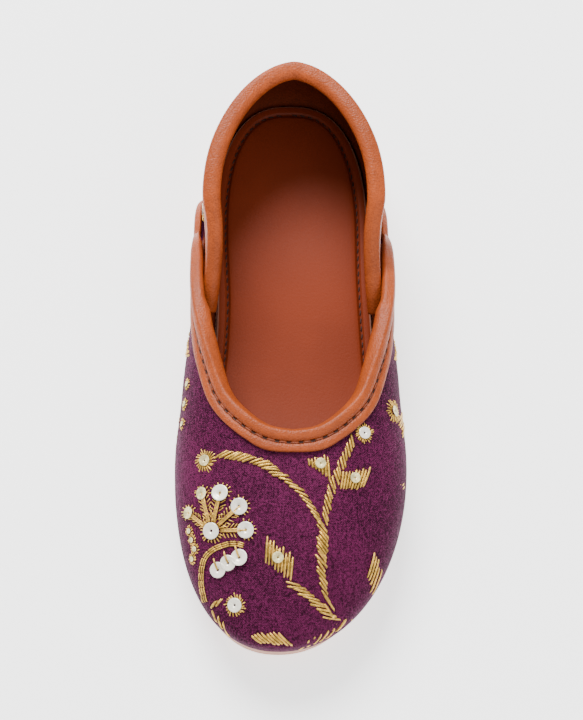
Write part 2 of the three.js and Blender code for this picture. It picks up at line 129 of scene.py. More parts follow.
VAMP_EDGE = (
    (0.243, 0.02),
    (0.255, 0.13),
    (0.275, 0.22),
    (0.31, 0.278),
    (0.35, 0.32),
    (0.393, 0.375),
    (0.44, 0.455),
    (0.49, 0.548),
    (0.54, 0.635),
    (0.6, 0.73),
    (0.641, 0.84),
    (0.664, 0.925),
    (0.672, 1.0),
)
VAMP_FOOT = 0.76
COLLAR_BINDING_END = 0.434
LAP_OVER, LAP_RISE, LAP_REACH, SINK_REACH = (0.45, 0.62), (0.11, 0.34), (0.27, 0.34), (0.2, 0.37)
HEEL_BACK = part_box("upper")[1].y / MM


def clamp01(x):
    return min(1.0, max(0.0, x))


def mix(a, b, t):
    return a + (b - a) * t


def smooth(t):
    return t * t * (3 - 2 * t)


def ramp(span, x):
    return smooth(clamp01((x - span[0]) / (span[1] - span[0])))


def spread(low, high, steps):
    return [mix(low, high, k / steps) for k in range(steps + 1)]


def halve(below, rounds):
    """Where, between 0 and 1, below stops being true."""
    low, high = 0.0, 1.0
    for _ in range(rounds):
        middle = (low + high) / 2
        if below(middle):
            low = middle
        else:
            high = middle
    return (low + high) / 2


def locate(runs, want):
    """Which step of a running length a place falls in, and its share of that step."""
    i = min(len(runs) - 2, max(0, bisect_left(runs, want) - 1))
    return i, clamp01((want - runs[i]) / max(1e-9, runs[i + 1] - runs[i]))


def column(name, at):
    """A column of the last's table, through a cubic whose slope at each row follows its neighbours."""
    k = SECTION_NAMES.index(name)
    last = len(SECTIONS) - 1
    x = min(1.0, max(0.0, at))
    i = 0
    while i < last - 1 and x > SECTIONS[i + 1][0]:
        i += 1

    def slope(j):
        a, b = SECTIONS[max(0, j - 1)], SECTIONS[min(last, j + 1)]
        return (b[k] - a[k]) / (b[0] - a[0])

    p, q = SECTIONS[i], SECTIONS[i + 1]
    span = q[0] - p[0]
    t = (x - p[0]) / span
    t2, t3 = t * t, t * t * t
    return (
        (2 * t3 - 3 * t2 + 1) * p[k]
        + (t3 - 2 * t2 + t) * span * slope(i)
        + (3 * t2 - 2 * t3) * q[k]
        + (t3 - t2) * span * slope(i + 1)
    )


def sole_top(share):
    drop = smooth(clamp01((share - HEEL_CAP) / (WAIST_END - HEEL_CAP)))
    spring = clamp01((share - SPRING_START) / (1 - SPRING_START)) ** 2
    return mix(HEEL_HEIGHT, SOLE_THICKNESS, drop) + TOE_SPRING * spring


def centre_line(share):
    return -TOE_INFLARE * clamp01((share - TOE_CAP) / (1 - TOE_CAP)) ** 2


def outline(side, at, which, heel_round=None):
    """The plan outline: x, and the distance from the heel's back along the shoe."""
    form = SOLE_ROUND if which == "sole" else UPPER_ROUND
    heel = 2 / (heel_round or form["heel"])
    drawn = column("arch", at) if which == "sole" and side < 0 else 0
    half = (1 - drawn) * (SOLE_WIDTH if which == "sole" else BALL_WIDTH) / 2
    share, narrowing = at, 1.0
    if at < HEEL_CAP:
        turn = at / HEEL_CAP * math.pi / 2
        share = HEEL_CAP * (1 - math.cos(turn) ** heel)
        narrowing = math.sin(turn) ** heel
    elif at > TOE_CAP:
        turn = (at - TOE_CAP) / (1 - TOE_CAP) * math.pi / 2
        share = TOE_CAP + (1 - TOE_CAP) * math.sin(turn) ** (2 / form["toe"])
        narrowing = max(0.0, math.cos(turn)) ** (2 / form["toe"])
    along = mix(HEEL_TUCK, SHOE_LENGTH - TOE_TUCK, share) if which == "sole" else SHOE_LENGTH * share
    width = half * column(which, max(HEEL_CAP, share)) * narrowing
    return side * width + centre_line(share), along


def spine_share(at):
    if at < HEEL_CAP:
        u = at / HEEL_CAP
        return mix(SPINE_START, HEEL_CAP, u**3 * (4 - 3 * u) * 0.5 + 0.5 * u * u)
    if at < TOE_CAP:
        return at
    u = (at - TOE_CAP) / (1 - TOE_CAP)
    return mix(TOE_CAP, SPINE_END, 1 - (1 - u) ** 1.6)


def seat_height(along):
    return sole_top(along / SHOE_LENGTH) + FIT_GAP


def last_point(side, at, rise):
    """A point of the upper's outer face: rise is 0 at the sole's edge and 1 on the ridge."""
    low_x, low_along = outline(side, at, "upper")
    if rise <= ROLL_SHARE:
        seat_x, seat_along = outline(side, at, "sole")
        turn = ROLL_TURN * (1 - rise / ROLL_SHARE)
        tuck = (1 - math.cos(turn)) / (1 - math.cos(ROLL_TURN))
        down = math.sin(turn) / math.sin(ROLL_TURN)
        along = mix(low_along, seat_along, tuck)
        return Vector((mix(low_x, seat_x, tuck), -along, seat_height(along) + ROLL_HEIGHT * (1 - down)))
    full = column("full", clamp01(low_along / SHOE_LENGTH))
    turn = (rise - ROLL_SHARE) / (1 - ROLL_SHARE) * math.pi / 2
    out = max(0.0, math.cos(turn)) ** (2 / full)
    up = math.sin(turn) ** (2 / full)
    wide_x, wide_along = outline(side, at, "upper", mix(UPPER_ROUND["heel"], RIDGE_ROUND, up))
    spine = spine_share(at) * SHOE_LENGTH
    along = mix(spine, wide_along, out)
    ridge = INSTEP_HEIGHT * column("cone", along / SHOE_LENGTH)
    foot = seat_height(along) + ROLL_HEIGHT
    return Vector((mix(centre_line(spine / SHOE_LENGTH), wide_x, out), -along, foot + (ridge - foot) * up))


def wrap(side, at):
    if at < 0:
        return -side, -at
    if at > 1:
        return -side, 2 - at
    return side, at


def chart_point(side, at, rise):
    return last_point(*wrap(side, at), clamp01(rise))


PROBE = 1e-3


def face_frame(side, at, rise):
    """How the last's face runs at a place: its steps for at and for rise, and its outward normal."""
    side, at = wrap(side, at)
    on_ridge = rise > 1 - PROBE
    side = 1 if on_ridge else side
    r0, r1 = max(0.0, rise - PROBE), min(1.0, rise + PROBE)
    along_step = (chart_point(side, at + PROBE, rise) - chart_point(side, at - PROBE, rise)) / (2 * PROBE)
    rise_step = (chart_point(side, at, r1) - chart_point(side, at, r0)) / (r1 - r0)
    normal = rise_step.cross(along_step) * side
    if on_ridge or at < PROBE or at > 1 - PROBE:
        normal.x = 0
    normal.z = max(0.0, normal.z)
    return along_step, rise_step, normal.normalized()


def face_point(side, at, rise, lift):
    return chart_point(side, at, rise) + face_frame(side, at, rise)[2] * lift


def lap_lift(at, rise):
    over = UPPER_WALL + LAP_ROOM - LAP_SINK
    return (1 - ramp(LAP_OVER, at)) * mix(LAP_STEP, over, ramp(LAP_RISE, rise) * ramp(LAP_REACH, at))


def quarter_lift(at, rise):
    return -LAP_SINK * ramp(LAP_RISE, rise) * ramp(SINK_REACH, at)


def to_frame(point):
    """From the shoe's own millimetres, with the heel's back at zero, to the frame's metres."""
    return Vector((point.x, point.y + HEEL_BACK, point.z)) * MM


def rise_at(side, at, height):
    return halve(lambda rise: last_point(side, at, rise).z < height, 26)


def at_of(along, which="sole"):
    return halve(lambda at: outline(1, at, which)[1] < along, 30)


def spline(rows, s):
    """A smooth curve through the rows, each row a step of its own."""
    spot = (len(rows) - 1) * clamp01(s)
    i = min(int(spot), len(rows) - 1)
    t = spot - i
    last = len(rows) - 1
    p0, p1 = rows[max(0, i - 1)], rows[i]
    p2, p3 = rows[min(last, i + 1)], rows[min(last, i + 2)]
    point = []
    for a, b, c, d in zip(p0, p1, p2, p3):
        v0, v1 = (c - a) * 0.5, (d - b) * 0.5
        point.append((2 * b - 2 * c + v0 + v1) * t**3 + (-3 * b + 3 * c - 2 * v0 - v1) * t * t + v0 * t + b)
    return point


QUARTER_ROWS = tuple((at, rise_at(1, at, share * COLLAR_HEIGHT)) for at, share in QUARTER_EDGE)


def edge_stop(rows, s):
    at, rise = spline(rows, s)
    return max(0.0, at), clamp01(rise)


def quarter_stop(w):
    """The quarters' edge: w runs from the lateral front end, round the heel, to the medial one."""
    side, s = (1, 2 * w) if w <= 0.5 else (-1, 2 - 2 * w)
    at, rise = edge_stop(QUARTER_ROWS, s)
    return side, at, rise, mix(QUARTER_EDGE[0][0], 0.0, s)


VAMP_BEHIND = 0.7


def vamp_stop(w):
    """The vamp's edge and ridge: w runs from the lateral rear end, round the toe, to the medial one."""
    side, q = (1, 2 * w) if w <= 0.5 else (-1, 2 - 2 * w)
    if q < VAMP_BEHIND:
        s = q / VAMP_BEHIND
        at, rise = edge_stop(VAMP_EDGE, s)
        return side, at, rise, mix(VAMP_EDGE[0][0], VAMP_FOOT, s)
    t = (q - VAMP_BEHIND) / (1 - VAMP_BEHIND)
    return side, mix(VAMP_EDGE[-1][0], 1.0, t), 1.0, mix(VAMP_FOOT, 1.0, t)


# ---------------------------------------------------------------- looks

# How far in from the sole's edge its two rows of teeth lie, in millimetres.
TOOTH_ROWS = (3.2, 5.4)


class Wire:
    """A number on its way through a material. The usual operators add the Math nodes."""

    def __init__(self, finish, socket):
        self.finish = finish
        self.socket = socket

    def _do(self, operation, *values):
        return self.finish.node("ShaderNodeMath", {"operation": operation}, dict(enumerate(values)))

    def __add__(self, other):
        return self._do("ADD", self, other)

    def __sub__(self, other):
        return self._do("SUBTRACT", self, other)

    def __rsub__(self, other):
        return self._do("SUBTRACT", other, self)

    def __mul__(self, other):
        return self._do("MULTIPLY", self, other)

    def __truediv__(self, other):
        return self._do("DIVIDE", self, other)

    def __pow__(self, other):
        return self._do("POWER", self, other)

    __radd__ = __add__

    def sine(self):
        return self._do("SINE", self)

    def size(self):
        return self._do("ABSOLUTE", self)

    def part(self):
        return self._do("FRACT", self)

    def within(self, low, high):
        """0 below low, 1 above high, and smooth between them."""
        settings = {"interpolation_type": "SMOOTHSTEP"}
        return self.finish.node("ShaderNodeMapRange", settings, {0: self, 1: low, 2: high})


class Finish:
    """A material, and the means to lay its nodes."""

    def __init__(self, name):
        self.material = bpy.data.materials.new(name)
        self.material.use_nodes = True
        self.tree = self.material.node_tree
        self.tree.nodes.clear()
        self.out = self.tree.nodes.new("ShaderNodeOutputMaterial")
        self.surface = self.tree.nodes.new("ShaderNodeBsdfPrincipled")
        self.tree.links.new(self.surface.outputs[0], self.out.inputs[0])

    def feed(self, socket, value):
        if isinstance(value, Wire):
            self.tree.links.new(value.socket, socket)
        else:
            socket.default_value = value

    def node(self, kind, settings=None, inputs=None, output=0):
        node = self.tree.nodes.new(kind)
        for name, value in (settings or {}).items():
            setattr(node, name, value)
        for key, value in (inputs or {}).items():
            self.feed(node.inputs[key], value)
        return Wire(self, node.outputs[output])

    def place(self, output="Object"):
        return self.node("ShaderNodeTexCoord", output=output)

    def parts(self, vector):
        node = self.node("ShaderNodeSeparateXYZ", None, {0: vector}).socket.node
        return [Wire(self, node.outputs[i]) for i in range(3)]

    def join(self, x, y, z):
        return self.node("ShaderNodeCombineXYZ", None, {0: x, 1: y, 2: z})

    def grain(self, scale, detail=2.0, rough=0.5, vector=None):
        """Noise whose marks repeat about scale times in a metre."""
        inputs = {"Vector": vector or self.place(), "Scale": scale, "Detail": detail, "Roughness": rough}
        return self.node("ShaderNodeTexNoise", None, inputs)

    def blend(self, factor, first, second):
        inputs = {0: factor, 6: first, 7: second}
        return self.node("ShaderNodeMix", {"data_type": "RGBA"}, inputs, output=2)

    def bump(self, height, strength, distance):
        inputs = {"Strength": strength, "Distance": distance, "Height": height}
        return self.node("ShaderNodeBump", None, inputs)

    def set(self, **values):
        for name, value in values.items():
            self.feed(self.surface.inputs[name.replace("_", " ")], value)
        return self.material


def rgba(colour, shade=1.0):
    return (colour[0] * shade, colour[1] * shade, colour[2] * shade, 1.0)


def cloth_finish(look):
    """Slubbed plain weave. Its threads lie along the shoe and across it, on the faces that look up, out or ahead."""
    f = Finish("plum_cloth")
    x, y, z = f.parts(f.place())
    nx, ny, nz = f.parts(f.place("Normal"))
    pitch = look.weave_pitch

    def weave(a, b):
        warp = (a * (2 * math.pi / pitch)).sine()
        weft = (b * (2 * math.pi / pitch)).sine()
        return warp * weft

    up, out, ahead = nz.size() ** 3, nx.size() ** 3, ny.size() ** 3
    total = up + out + ahead + 0.001
    threads = (weave(x, y) * up + weave(y, z) * out + weave(x, z) * ahead) / total
    slub_across = f.grain(1.0, 2.0, 0.6, f.join(x * 500, y * 2600, z * 2600))
    slub_along = f.grain(1.0, 2.0, 0.6, f.join(x * 2600, y * 500, z * 900))
    fleck = f.grain(3000, 1.5, 0.7)
    broad = f.grain(45, 3.0, 0.5)
    mixed = threads * 0.1 + slub_across * 0.5 + slub_along * 0.45 + fleck * 1.2 + broad * 0.3
    light = (mixed - 0.7).within(0.3, 0.8)
    tone = f.blend(light, rgba(look.cloth_colour), rgba(look.cloth_light))
    height = threads * 0.4 + slub_across * 0.7 + slub_along * 0.5
    return f.set(
        Base_Color=tone,
        Roughness=0.8 - light * 0.25,
        Sheen_Weight=0.03,
        Sheen_Roughness=0.4,
        Sheen_Tint=(0.9, 0.3, 0.7, 1),
        Specular_IOR_Level=0.08,
        Normal=f.bump(height, 0.5, 0.00025),
    )


def leather_finish(name, colour, look, stitch=True, gloss=0.46, pores=0.55):
    """Grained leather. Its UV map runs along the edge and down from it in millimetres, and places the needle holes.
    With stitch, painted shade darkens the seam's groove and the needle holes.
    """
    f = Finish(name)
    pore = f.node("ShaderNodeTexVoronoi", {"feature": "F1"}, {"Vector": f.place(), "Scale": 1900.0})
    fine = f.grain(2600, 2.0, 0.6)
    wrinkle = f.grain(420, 4.0, 0.6)
    broad = f.grain(60, 3.0, 0.5)
    tone = f.blend(broad.within(0.3, 0.7), rgba(colour, 0.86), rgba(colour, 1.1))
    tone = f.blend((fine * 0.6 + wrinkle * 0.4).within(0.42, 0.62) * 0.7, tone, rgba(colour, 0.6))
    height = pore * 0.8 + wrinkle * 0.6 + fine * 0.5
    rough = gloss + (fine - 0.5) * 0.25
    if stitch:
        run, depth, _ = f.parts(f.place("UV"))
        # Painted shade: the needle holes between the stitches are painted nearly black, and are also pressed in by the
        # bump.
        here = (run / look.stitch_pitch).part() - 0.5
        hole = (1 - (here.size() * look.stitch_pitch).within(0.5, 0.85)) * (
            1 - (depth - SEAM_DEPTH).size().within(0.25, 0.5)
        )
        # Painted shade: the leather is darkened along the seam's groove.
        seam_groove_shade = 1 - (depth - SEAM_DEPTH).size().within(0.1, 0.75)
        rim = (depth - FLANGE_EDGE).within(-0.35, 0.05)
        tone = f.blend(seam_groove_shade * 0.45, tone, rgba(colour, 0.35))
        tone = f.blend(rim * 0.6, tone, rgba(colour, 0.3))
        tone = f.blend(hole * 0.95, tone, rgba(colour, 0.08))
        height = height - hole * 3.0
    return f.set(
        Base_Color=tone,
        Roughness=rough,
        Specular_IOR_Level=0.25,
        Normal=f.bump(height, pores, 0.0002),
    )


def insole_finish(look):
    """Smooth coated sock, quilted by a seam a little way in from its edge, with painted shade darkening the seam's
    groove.
    """
    f = Finish("insole_leather")
    edge = f.node("ShaderNodeAttribute", {"attribute_name": "edge"}, output=2)
    fine = f.grain(1500, 3.0, 0.6)
    broad = f.grain(38, 3.0, 0.55)
    seam = 1 - (edge - look.insole_seam).size().within(0.15, 0.9)
    tone = f.blend(broad.within(0.3, 0.7), rgba(look.insole_colour, 0.92), rgba(look.insole_colour, 1.06))
    # Painted shade: the tone is darkened along the seam's groove.
    tone = f.blend(seam * 0.4, tone, rgba(look.insole_colour, 0.45))
    tone = f.blend(1 - edge.within(0.1, 0.7), tone, rgba(look.sole_colour))
    return f.set(
        Base_Color=tone,
        Roughness=0.45 + fine * 0.18,
        Specular_IOR_Level=0.15,
        Normal=f.bump(fine * 0.25 - seam * 1.6, 0.5, 0.0004),
    )


def sole_finish(look):
    """Moulded rubber, with two rows of teeth pressed in along its edge, ahead of the heel, and painted shade in the
    channels between the teeth.
    """
    f = Finish("sole_rubber")
    edge = f.node("ShaderNodeAttribute", {"attribute_name": "edge"}, output=2)
    run = f.node("ShaderNodeAttribute", {"attribute_name": "run"}, output=2)
    _, _, nz = f.parts(f.place("Normal"))
    under = (0 - nz).within(0.6, 0.9)
    _, y, _ = f.parts(f.place())
    ahead = ((HEEL_BACK - HEEL_BREAST) * MM - y).within(0.0005, 0.0015)
    tooth = ((run * (2 * math.pi / look.tooth_pitch)).sine() * 0.5 + 0.5).within(0.3, 0.6)
    rows = 0.0
    for middle in TOOTH_ROWS:
        shaded_channel = 1 - (edge - middle).size().within(0.5, 0.7)
        rows = shaded_channel * (1 - tooth * (1 - (edge - middle).size().within(0.2, 0.35)) * 0.9) + rows
    rows = rows * under * ahead
    fine = f.grain(900, 3.0, 0.6)
    broad = f.grain(50, 3.0, 0.5)
    tone = f.blend(broad.within(0.3, 0.7), rgba(look.sole_colour, 0.94), rgba(look.sole_colour, 1.05))
    # Painted shade: the channels are darkened, less where the teeth stand.
    tone = f.blend(rows * 0.7, tone, rgba(look.sole_colour, 0.42))
    return f.set(
        Base_Color=tone,
        Roughness=0.5 + fine * 0.2,
        Specular_IOR_Level=0.35,
        Subsurface_Weight=0.04,
        Subsurface_Radius=(0.003, 0.002, 0.001),
        Normal=f.bump(fine * 0.12 - rows * 1.5, 0.6, 0.0004),
    )


def thread_finish(name, colour, metal, gloss, twist=True):
    f = Finish(name)
    fine = f.grain(3200, 2.0, 0.7)
    broad = f.grain(620, 2.0, 0.6)
    tone = f.blend(broad.within(0.35, 0.65), rgba(colour, 0.55), rgba(colour, 1.05))
    tone = f.blend(fine.within(0.45, 0.7) * 0.7, tone, rgba(colour, 0.25))
    return f.set(
        Base_Color=tone,
        Metallic=metal,
        Roughness=gloss + fine * 0.2,
        Normal=f.bump(fine, 0.6 if twist else 0.1, 0.0002),
    )


def sequin_finish(look):
    f = Finish("sequin_foil")
    fine = f.grain(700, 2.0, 0.6)
    tone = f.blend(fine.within(0.35, 0.7), rgba(look.sequin_colour), rgba(look.sequin_colour, 0.86))
    return f.set(
        Base_Color=tone,
        Metallic=0.2,
        Roughness=0.22 + fine * 0.12,
        Coat_Weight=0.3,
        Coat_Roughness=0.08,
    )


# ---------------------------------------------------------------- forms

# The bindings, in millimetres below the edge that they cover.
SEAM_DEPTH = 2.15
FLANGE_EDGE = 4.8
INNER_DEPTH = -3.0

# Steps round a binding's section, the share of them on its outside, and how far its heel is eased.
SECTION_STEPS = 64
OUTER_SHARE = 0.62
HEEL_SOFT = 0.05
EASE_ROUNDS = 12

# Thicknesses of cloth and lining, how far both go below the sole's top, and how near two points are one.
CLOTH_THICKNESS = 0.8
LINING_THICKNESS = 0.9
FOOT_SINK = FIT_GAP + 0.06
WELD = 2e-6


def mapped_grid(nu, nv, place):
    """A grid whose points are laid where place puts each share across and each share along."""
    bm = bmesh.new()
    bmesh.ops.create_grid(bm, x_segments=nu, y_segments=nv, size=0.5)
    spots = {}
    for v in bm.verts:
        spots[v.index] = (round((v.co.x + 0.5) * nu), round((v.co.y + 0.5) * nv))
    for v in bm.verts:
        i, j = spots[v.index]
        v.co = to_frame(place(i / nu, j / nv))
    return bm, spots


def face_away(bm, middle):
    """Turns an open sheet so that its faces look away from the shoe's inside."""
    if sum(f.normal.dot(f.calc_center_median() - middle(f.calc_center_median())) for f in bm.faces) < 0:
        bmesh.ops.reverse_faces(bm, faces=bm.faces[:])


def smooth_mesh(bm, name):
    for face in bm.faces:
        face.smooth = True
    mesh = bpy.data.meshes.new(name)
    bm.to_mesh(mesh)
    bm.free()
    return mesh


def finish_piece(bm, name, material, replaces=()):
    mesh = smooth_mesh(bm, name)
    piece = bpy.data.objects.new(name, mesh)
    bpy.context.scene.collection.objects.link(piece)
    mesh.materials.append(material)
    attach(piece, "root")
    if replaces:
        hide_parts(*replaces)
    return piece


def wall(stop, lift, nu, nv):
    """An open sheet on the last: ribs from the sole's edge up to each stop."""

    def place(w, t):
        side, at, rise, foot = stop(w)
        here_at, here_rise = mix(foot, at, t), rise * t
        point = face_point(side, here_at, here_rise, lift(here_at, here_rise))
        if t == 0:
            point.z -= FOOT_SINK
        return point

    bm, _ = mapped_grid(nu, nv, place)
    bmesh.ops.remove_doubles(bm, verts=bm.verts[:], dist=WELD)
    bm.normal_update()
    face_away(bm, lambda c: Vector((0, c.y * 0.75, 0.014)))
    return bm


def thicken(piece, thickness, outward):
    shell = piece.modifiers.new("thickness", "SOLIDIFY")
    shell.thickness = thickness * MM
    shell.offset = 1.0 if outward else -1.0
    shell.use_even_offset = False


def section_curve(points, steps):
    """Points spread evenly along a smooth closed section."""
    fine = [spline(points, share) for share in spread(0.0, 1.0, 400)]
    run = [0.0]
    for a, b in zip(fine, fine[1:]):
        run.append(run[-1] + math.dist(a, b))
    out = []
    for i in range(steps + 1):
        k, t = locate(run, run[-1] * i / steps)
        out.append([mix(p, q, t) for p, q in zip(fine[k], fine[k + 1])])
    return out


def binding_section(under, swell, flap):
    """Depth below the wall's edge and height over its face: cut edge, flange, seam, bead, and the fold inside."""
    face, inner = FIT_GAP * 0.4, -under
    flat = FIT_GAP + BINDING_LEATHER
    out = flat + swell + 0.12
    return [
        (FLANGE_EDGE, face),
        (FLANGE_EDGE + 0.02, flat - 0.25),
        (FLANGE_EDGE - 0.2, flat),
        (3.9, flat + 0.08),
        (3.0, flat + 0.02),
        (SEAM_DEPTH + 0.35, flat - 0.2),
        (SEAM_DEPTH, flat - 0.48),
        (SEAM_DEPTH - 0.35, flat - 0.12),
        (1.2, mix(flat, out, 0.75)),
        (0.5, out),
        (-0.4, out + 0.03),
        (-1.15, mix(flat, out, 0.62)),
        (-1.7, mix(inner, flat, 0.75)),
        (-1.95, mix(inner, flat, 0.5)),
        (-1.8, mix(inner, flat, 0.25)),
        (-1.25, mix(inner, flat, 0.06)),
        (-0.5, inner),
        (flap, inner),
        (flap, min(face, inner + BINDING_LEATHER)),
        (-0.25, min(face, inner + BINDING_LEATHER)),
        (-0.25, face),
        (FLANGE_EDGE, face),
    ]


def edge_map(stops, lift):
    """For each stop of an edge, a function from depth and height to a point, as the leather is folded over it."""
    places = [face_point(side, at, rise, lift(at, rise)) for side, at, rise in stops]
    maps = []
    for i, (side, at, rise) in enumerate(stops):
        before, after = places[max(0, i - 1)], places[min(len(places) - 1, i + 1)]
        tangent = (after - before).normalized()
        along_step, rise_step, normal = face_frame(side, at, rise)
        inward = tangent.cross(normal).normalized()
        aa, ar, rr = along_step.dot(along_step), along_step.dot(rise_step), rise_step.dot(rise_step)
        ai, ri = along_step.dot(inward), rise_step.dot(inward)
        det = aa * rr - ar * ar
        step_at, step_rise = (ai * rr - ri * ar) / det, (ri * aa - ai * ar) / det

        def point(depth, height, i=i, side=side, at=at, rise=rise, a=step_at, r=step_rise, n=normal, w=inward):
            if depth <= 0:
                return places[i] + w * depth + n * height
            here_at, here_rise = at + a * depth, min(1.0, max(0.012, rise + r * depth))
            return face_point(side, here_at, here_rise, lift(here_at, here_rise) + height)

        maps.append(point)
    runs = [0.0]
    for a, b in zip(places, places[1:]):
        runs.append(runs[-1] + (b - a).length)
    return maps, runs


def binding(name, stops, lift, room, material, node):
    """Leather folded over an edge: a section at every stop, eased where they crowd at the middle of the heel."""
    maps, runs = edge_map(stops, lift)
    sections = [section_curve(binding_section(*room(stop)), SECTION_STEPS) for stop in stops]
    nu = len(stops) - 1
    rows = [[maps[i](*spot) for spot in section] for i, section in enumerate(sections)]
    bent = [i for i, stop in enumerate(stops) if stop[1] < HEEL_SOFT and 0 < i < nu]
    for _ in range(EASE_ROUNDS):
        eased = {i: [(a + 2 * b + c) / 4 for a, b, c in zip(rows[i - 1], rows[i], rows[i + 1])] for i in bent}
        for i, row in eased.items():
            rows[i] = row

    def place(u, v):
        return rows[round(u * nu)][round(v * SECTION_STEPS)]

    bm, spots = mapped_grid(nu, SECTION_STEPS, place)
    layer = bm.loops.layers.uv.new("leather")
    for face in bm.faces:
        for loop in face.loops:
            i, j = spots[loop.vert.index]
            depth = sections[i][j][0] if j < SECTION_STEPS * OUTER_SHARE else INNER_DEPTH
            loop[layer].uv = (runs[i], depth)
    bmesh.ops.remove_doubles(bm, verts=bm.verts[:], dist=WELD)
    bmesh.ops.holes_fill(bm, edges=[e for e in bm.edges if e.is_boundary], sides=0)
    bmesh.ops.recalc_face_normals(bm, faces=bm.faces[:])
    finish_piece(bm, name, material, [node])
    return maps, runs


def stitch_form(name, thick=0.7, dip=1.3):
    """One stitch, a unit long: a flattened thread that goes down into the cloth at both ends."""
    bm = bmesh.new()
    turn = Matrix.Rotation(math.pi / 2, 4, "Y")
    bmesh.ops.create_cone(
        bm, cap_ends=True, cap_tris=False, segments=6, radius1=1, radius2=1, depth=1, matrix=turn
    )
    for cut in (-0.42, -0.22, 0.22, 0.42):
        parts = bm.verts[:] + bm.edges[:] + bm.faces[:]
        bmesh.ops.bisect_plane(bm, geom=parts, plane_co=(cut, 0, 0), plane_no=(1, 0, 0))
    for v in bm.verts:
        end = abs(v.co.x) * 2
        taper = 1 - 0.55 * clamp01((end - 0.8) / 0.2)
        v.co.y *= taper
        v.co.z = v.co.z * thick * taper + 0.25 - dip * end**6
    return smooth_mesh(bm, name)


def sequin_form(name, hole=0.16, cup=0.1):
    """One sequin, a unit in radius: a thin cupped disc with a hole."""
    upper_side = [(hole, 0.0), (0.5, 0.02), (0.86, cup), (1.0, cup + 0.02)]
    profile = upper_side + [(1.0, cup - 0.05), (0.5, -0.08), (hole, -0.08)]
    bm = bmesh.new()
    verts = [bm.verts.new((x, 0, z)) for x, z in profile]
    edges = [bm.edges.new((verts[i], verts[(i + 1) % len(verts)])) for i in range(len(verts))]
    bmesh.ops.spin(
        bm, geom=verts + edges, cent=(0, 0, 0), axis=(0, 0, 1), angle=2 * math.pi, steps=18, use_merge=True
    )
    bmesh.ops.remove_doubles(bm, verts=bm.verts[:], dist=1e-5)
    bmesh.ops.recalc_face_normals(bm, faces=bm.faces[:])
    return smooth_mesh(bm, name)


class Workbasket:
    """Copies of small forms, gathered into one piece."""

    def __init__(self):
        self.bm = bmesh.new()

    def add(self, form, matrix):
        copy = form.copy()
        copy.transform(matrix)
        self.bm.from_mesh(copy)
        bpy.data.meshes.remove(copy)

    def stitch(self, form, a, b, normal, radius):
        run = b - a
        if run.length < 1e-5:
            return
        x = run.normalized()
        y = normal.cross(x).normalized()
        z = x.cross(y)
        r = radius * MM
        grid = Matrix((x * run.length, y * r, z * r)).transposed().to_4x4()
        self.add(form, Matrix.Translation((a + b) / 2) @ grid)

    def disc(self, form, place, normal, radius, tilt=(0.0, 0.0)):
        turn = normal.to_track_quat("Z", "Y").to_matrix().to_4x4()
        lean = Matrix.Rotation(tilt[0], 4, "X") @ Matrix.Rotation(tilt[1], 4, "Y")
        self.add(form, Matrix.Translation(place) @ turn @ lean @ Matrix.Scale(radius * MM, 4))

    def piece(self, name, material, slot):
        return finish_piece(self.bm, name, material)


# ---------------------------------------------------------------- the photograph's view

VIEW_ELEVATION = math.radians(70)
VIEW_DISTANCE = 0.8
VIEW_TARGET = Vector((0.0, -0.002, 0.02))
FOCAL_PX = 2880.0
PHOTO_HEIGHT_PX = 720.0
PIXEL_MM = 0.28
SENSOR_HEIGHT = 36.0
SHOE_MIDDLE_PX = (360.0, 360.0)
VIEW_LEAN = math.radians(1.8)
VIEW_AHEAD = Vector((
    math.sin(VIEW_LEAN) * math.sin(VIEW_ELEVATION),
    math.cos(VIEW_ELEVATION),
    -math.cos(VIEW_LEAN) * math.sin(VIEW_ELEVATION),
))
VIEW_UP = (Vector((0, 1, 0)) - VIEW_AHEAD * VIEW_AHEAD.y).normalized()
VIEW_RIGHT = VIEW_AHEAD.cross(VIEW_UP)
VIEW_PLACE = VIEW_TARGET - VIEW_AHEAD * VIEW_DISTANCE

# Where the metal-thread work lies on the vamp, read in the photograph's pixels. Each vine: its path, the slant of its
# stitches at its two ends in degrees, and their length.
VINES_PX = {
    "throat": (
        [(284, 455), (300, 455), (316, 459), (328, 462), (340, 469), (352, 478)]
        + [(362, 486), (370, 494), (378, 504), (384, 514), (388, 523)],
        (38, -44),
        14,
    ),
    "upper_branch": (
        [(392, 524), (394, 515), (396, 503), (400, 489), (404, 479), (410, 465), (416, 451), (423, 436)],
        (-66, -84),
        13,
    ),
    "stem": (
        [(389, 519), (392, 534), (391, 547), (390, 557), (390, 568)]
        + [(391, 580), (393, 592), (396, 603), (400, 613)],
        (-50, -56),
        15,
    ),
    "lower_branch": (
        [(357, 580), (366, 588), (375, 595), (384, 602), (392, 610), (400, 618), (409, 624), (418, 630)],
        (-10, -14),
        16,
    ),
    "toe_right": ([(420, 620), (411, 626), (401, 632), (391, 637), (381, 641), (371, 645)], (48, 46), 13),
    "toe_left": ([(278, 610), (285, 618), (292, 626), (299, 633), (307, 638)], (-72, -66), 13),
    "right_edge": ([(468, 414), (473, 424), (476, 436)], (50, 50), 11),
    "eyelet_twig": ([(277, 608), (284, 604), (292, 601)], (60, 50), 9),
}
# Each leaf: its first stitch, its last stitch, and how many there are.
LEAVES_PX = {
    "diamond": (((336, 537), (334.5, 561)), ((361.5, 556), (359, 580)), 9),
    "upper_left": (((377, 458), (378, 466)), ((396, 456), (398, 480)), 7),
    "upper_right": (((412, 471), (409, 490)), ((438.5, 468), (431, 488)), 9),
    "right": (((443, 553), (436, 577)), ((450, 570), (440, 596)), 5),
    "toe": (((319, 635), (330, 643)), ((346, 632), (360, 645)), 8),
    "right_rim": (((479, 460), (466, 481)), ((480, 474), (472, 488)), 5),
    "right_low": (((474, 519), (466, 523)), ((468, 541), (461, 544)), 6),
}
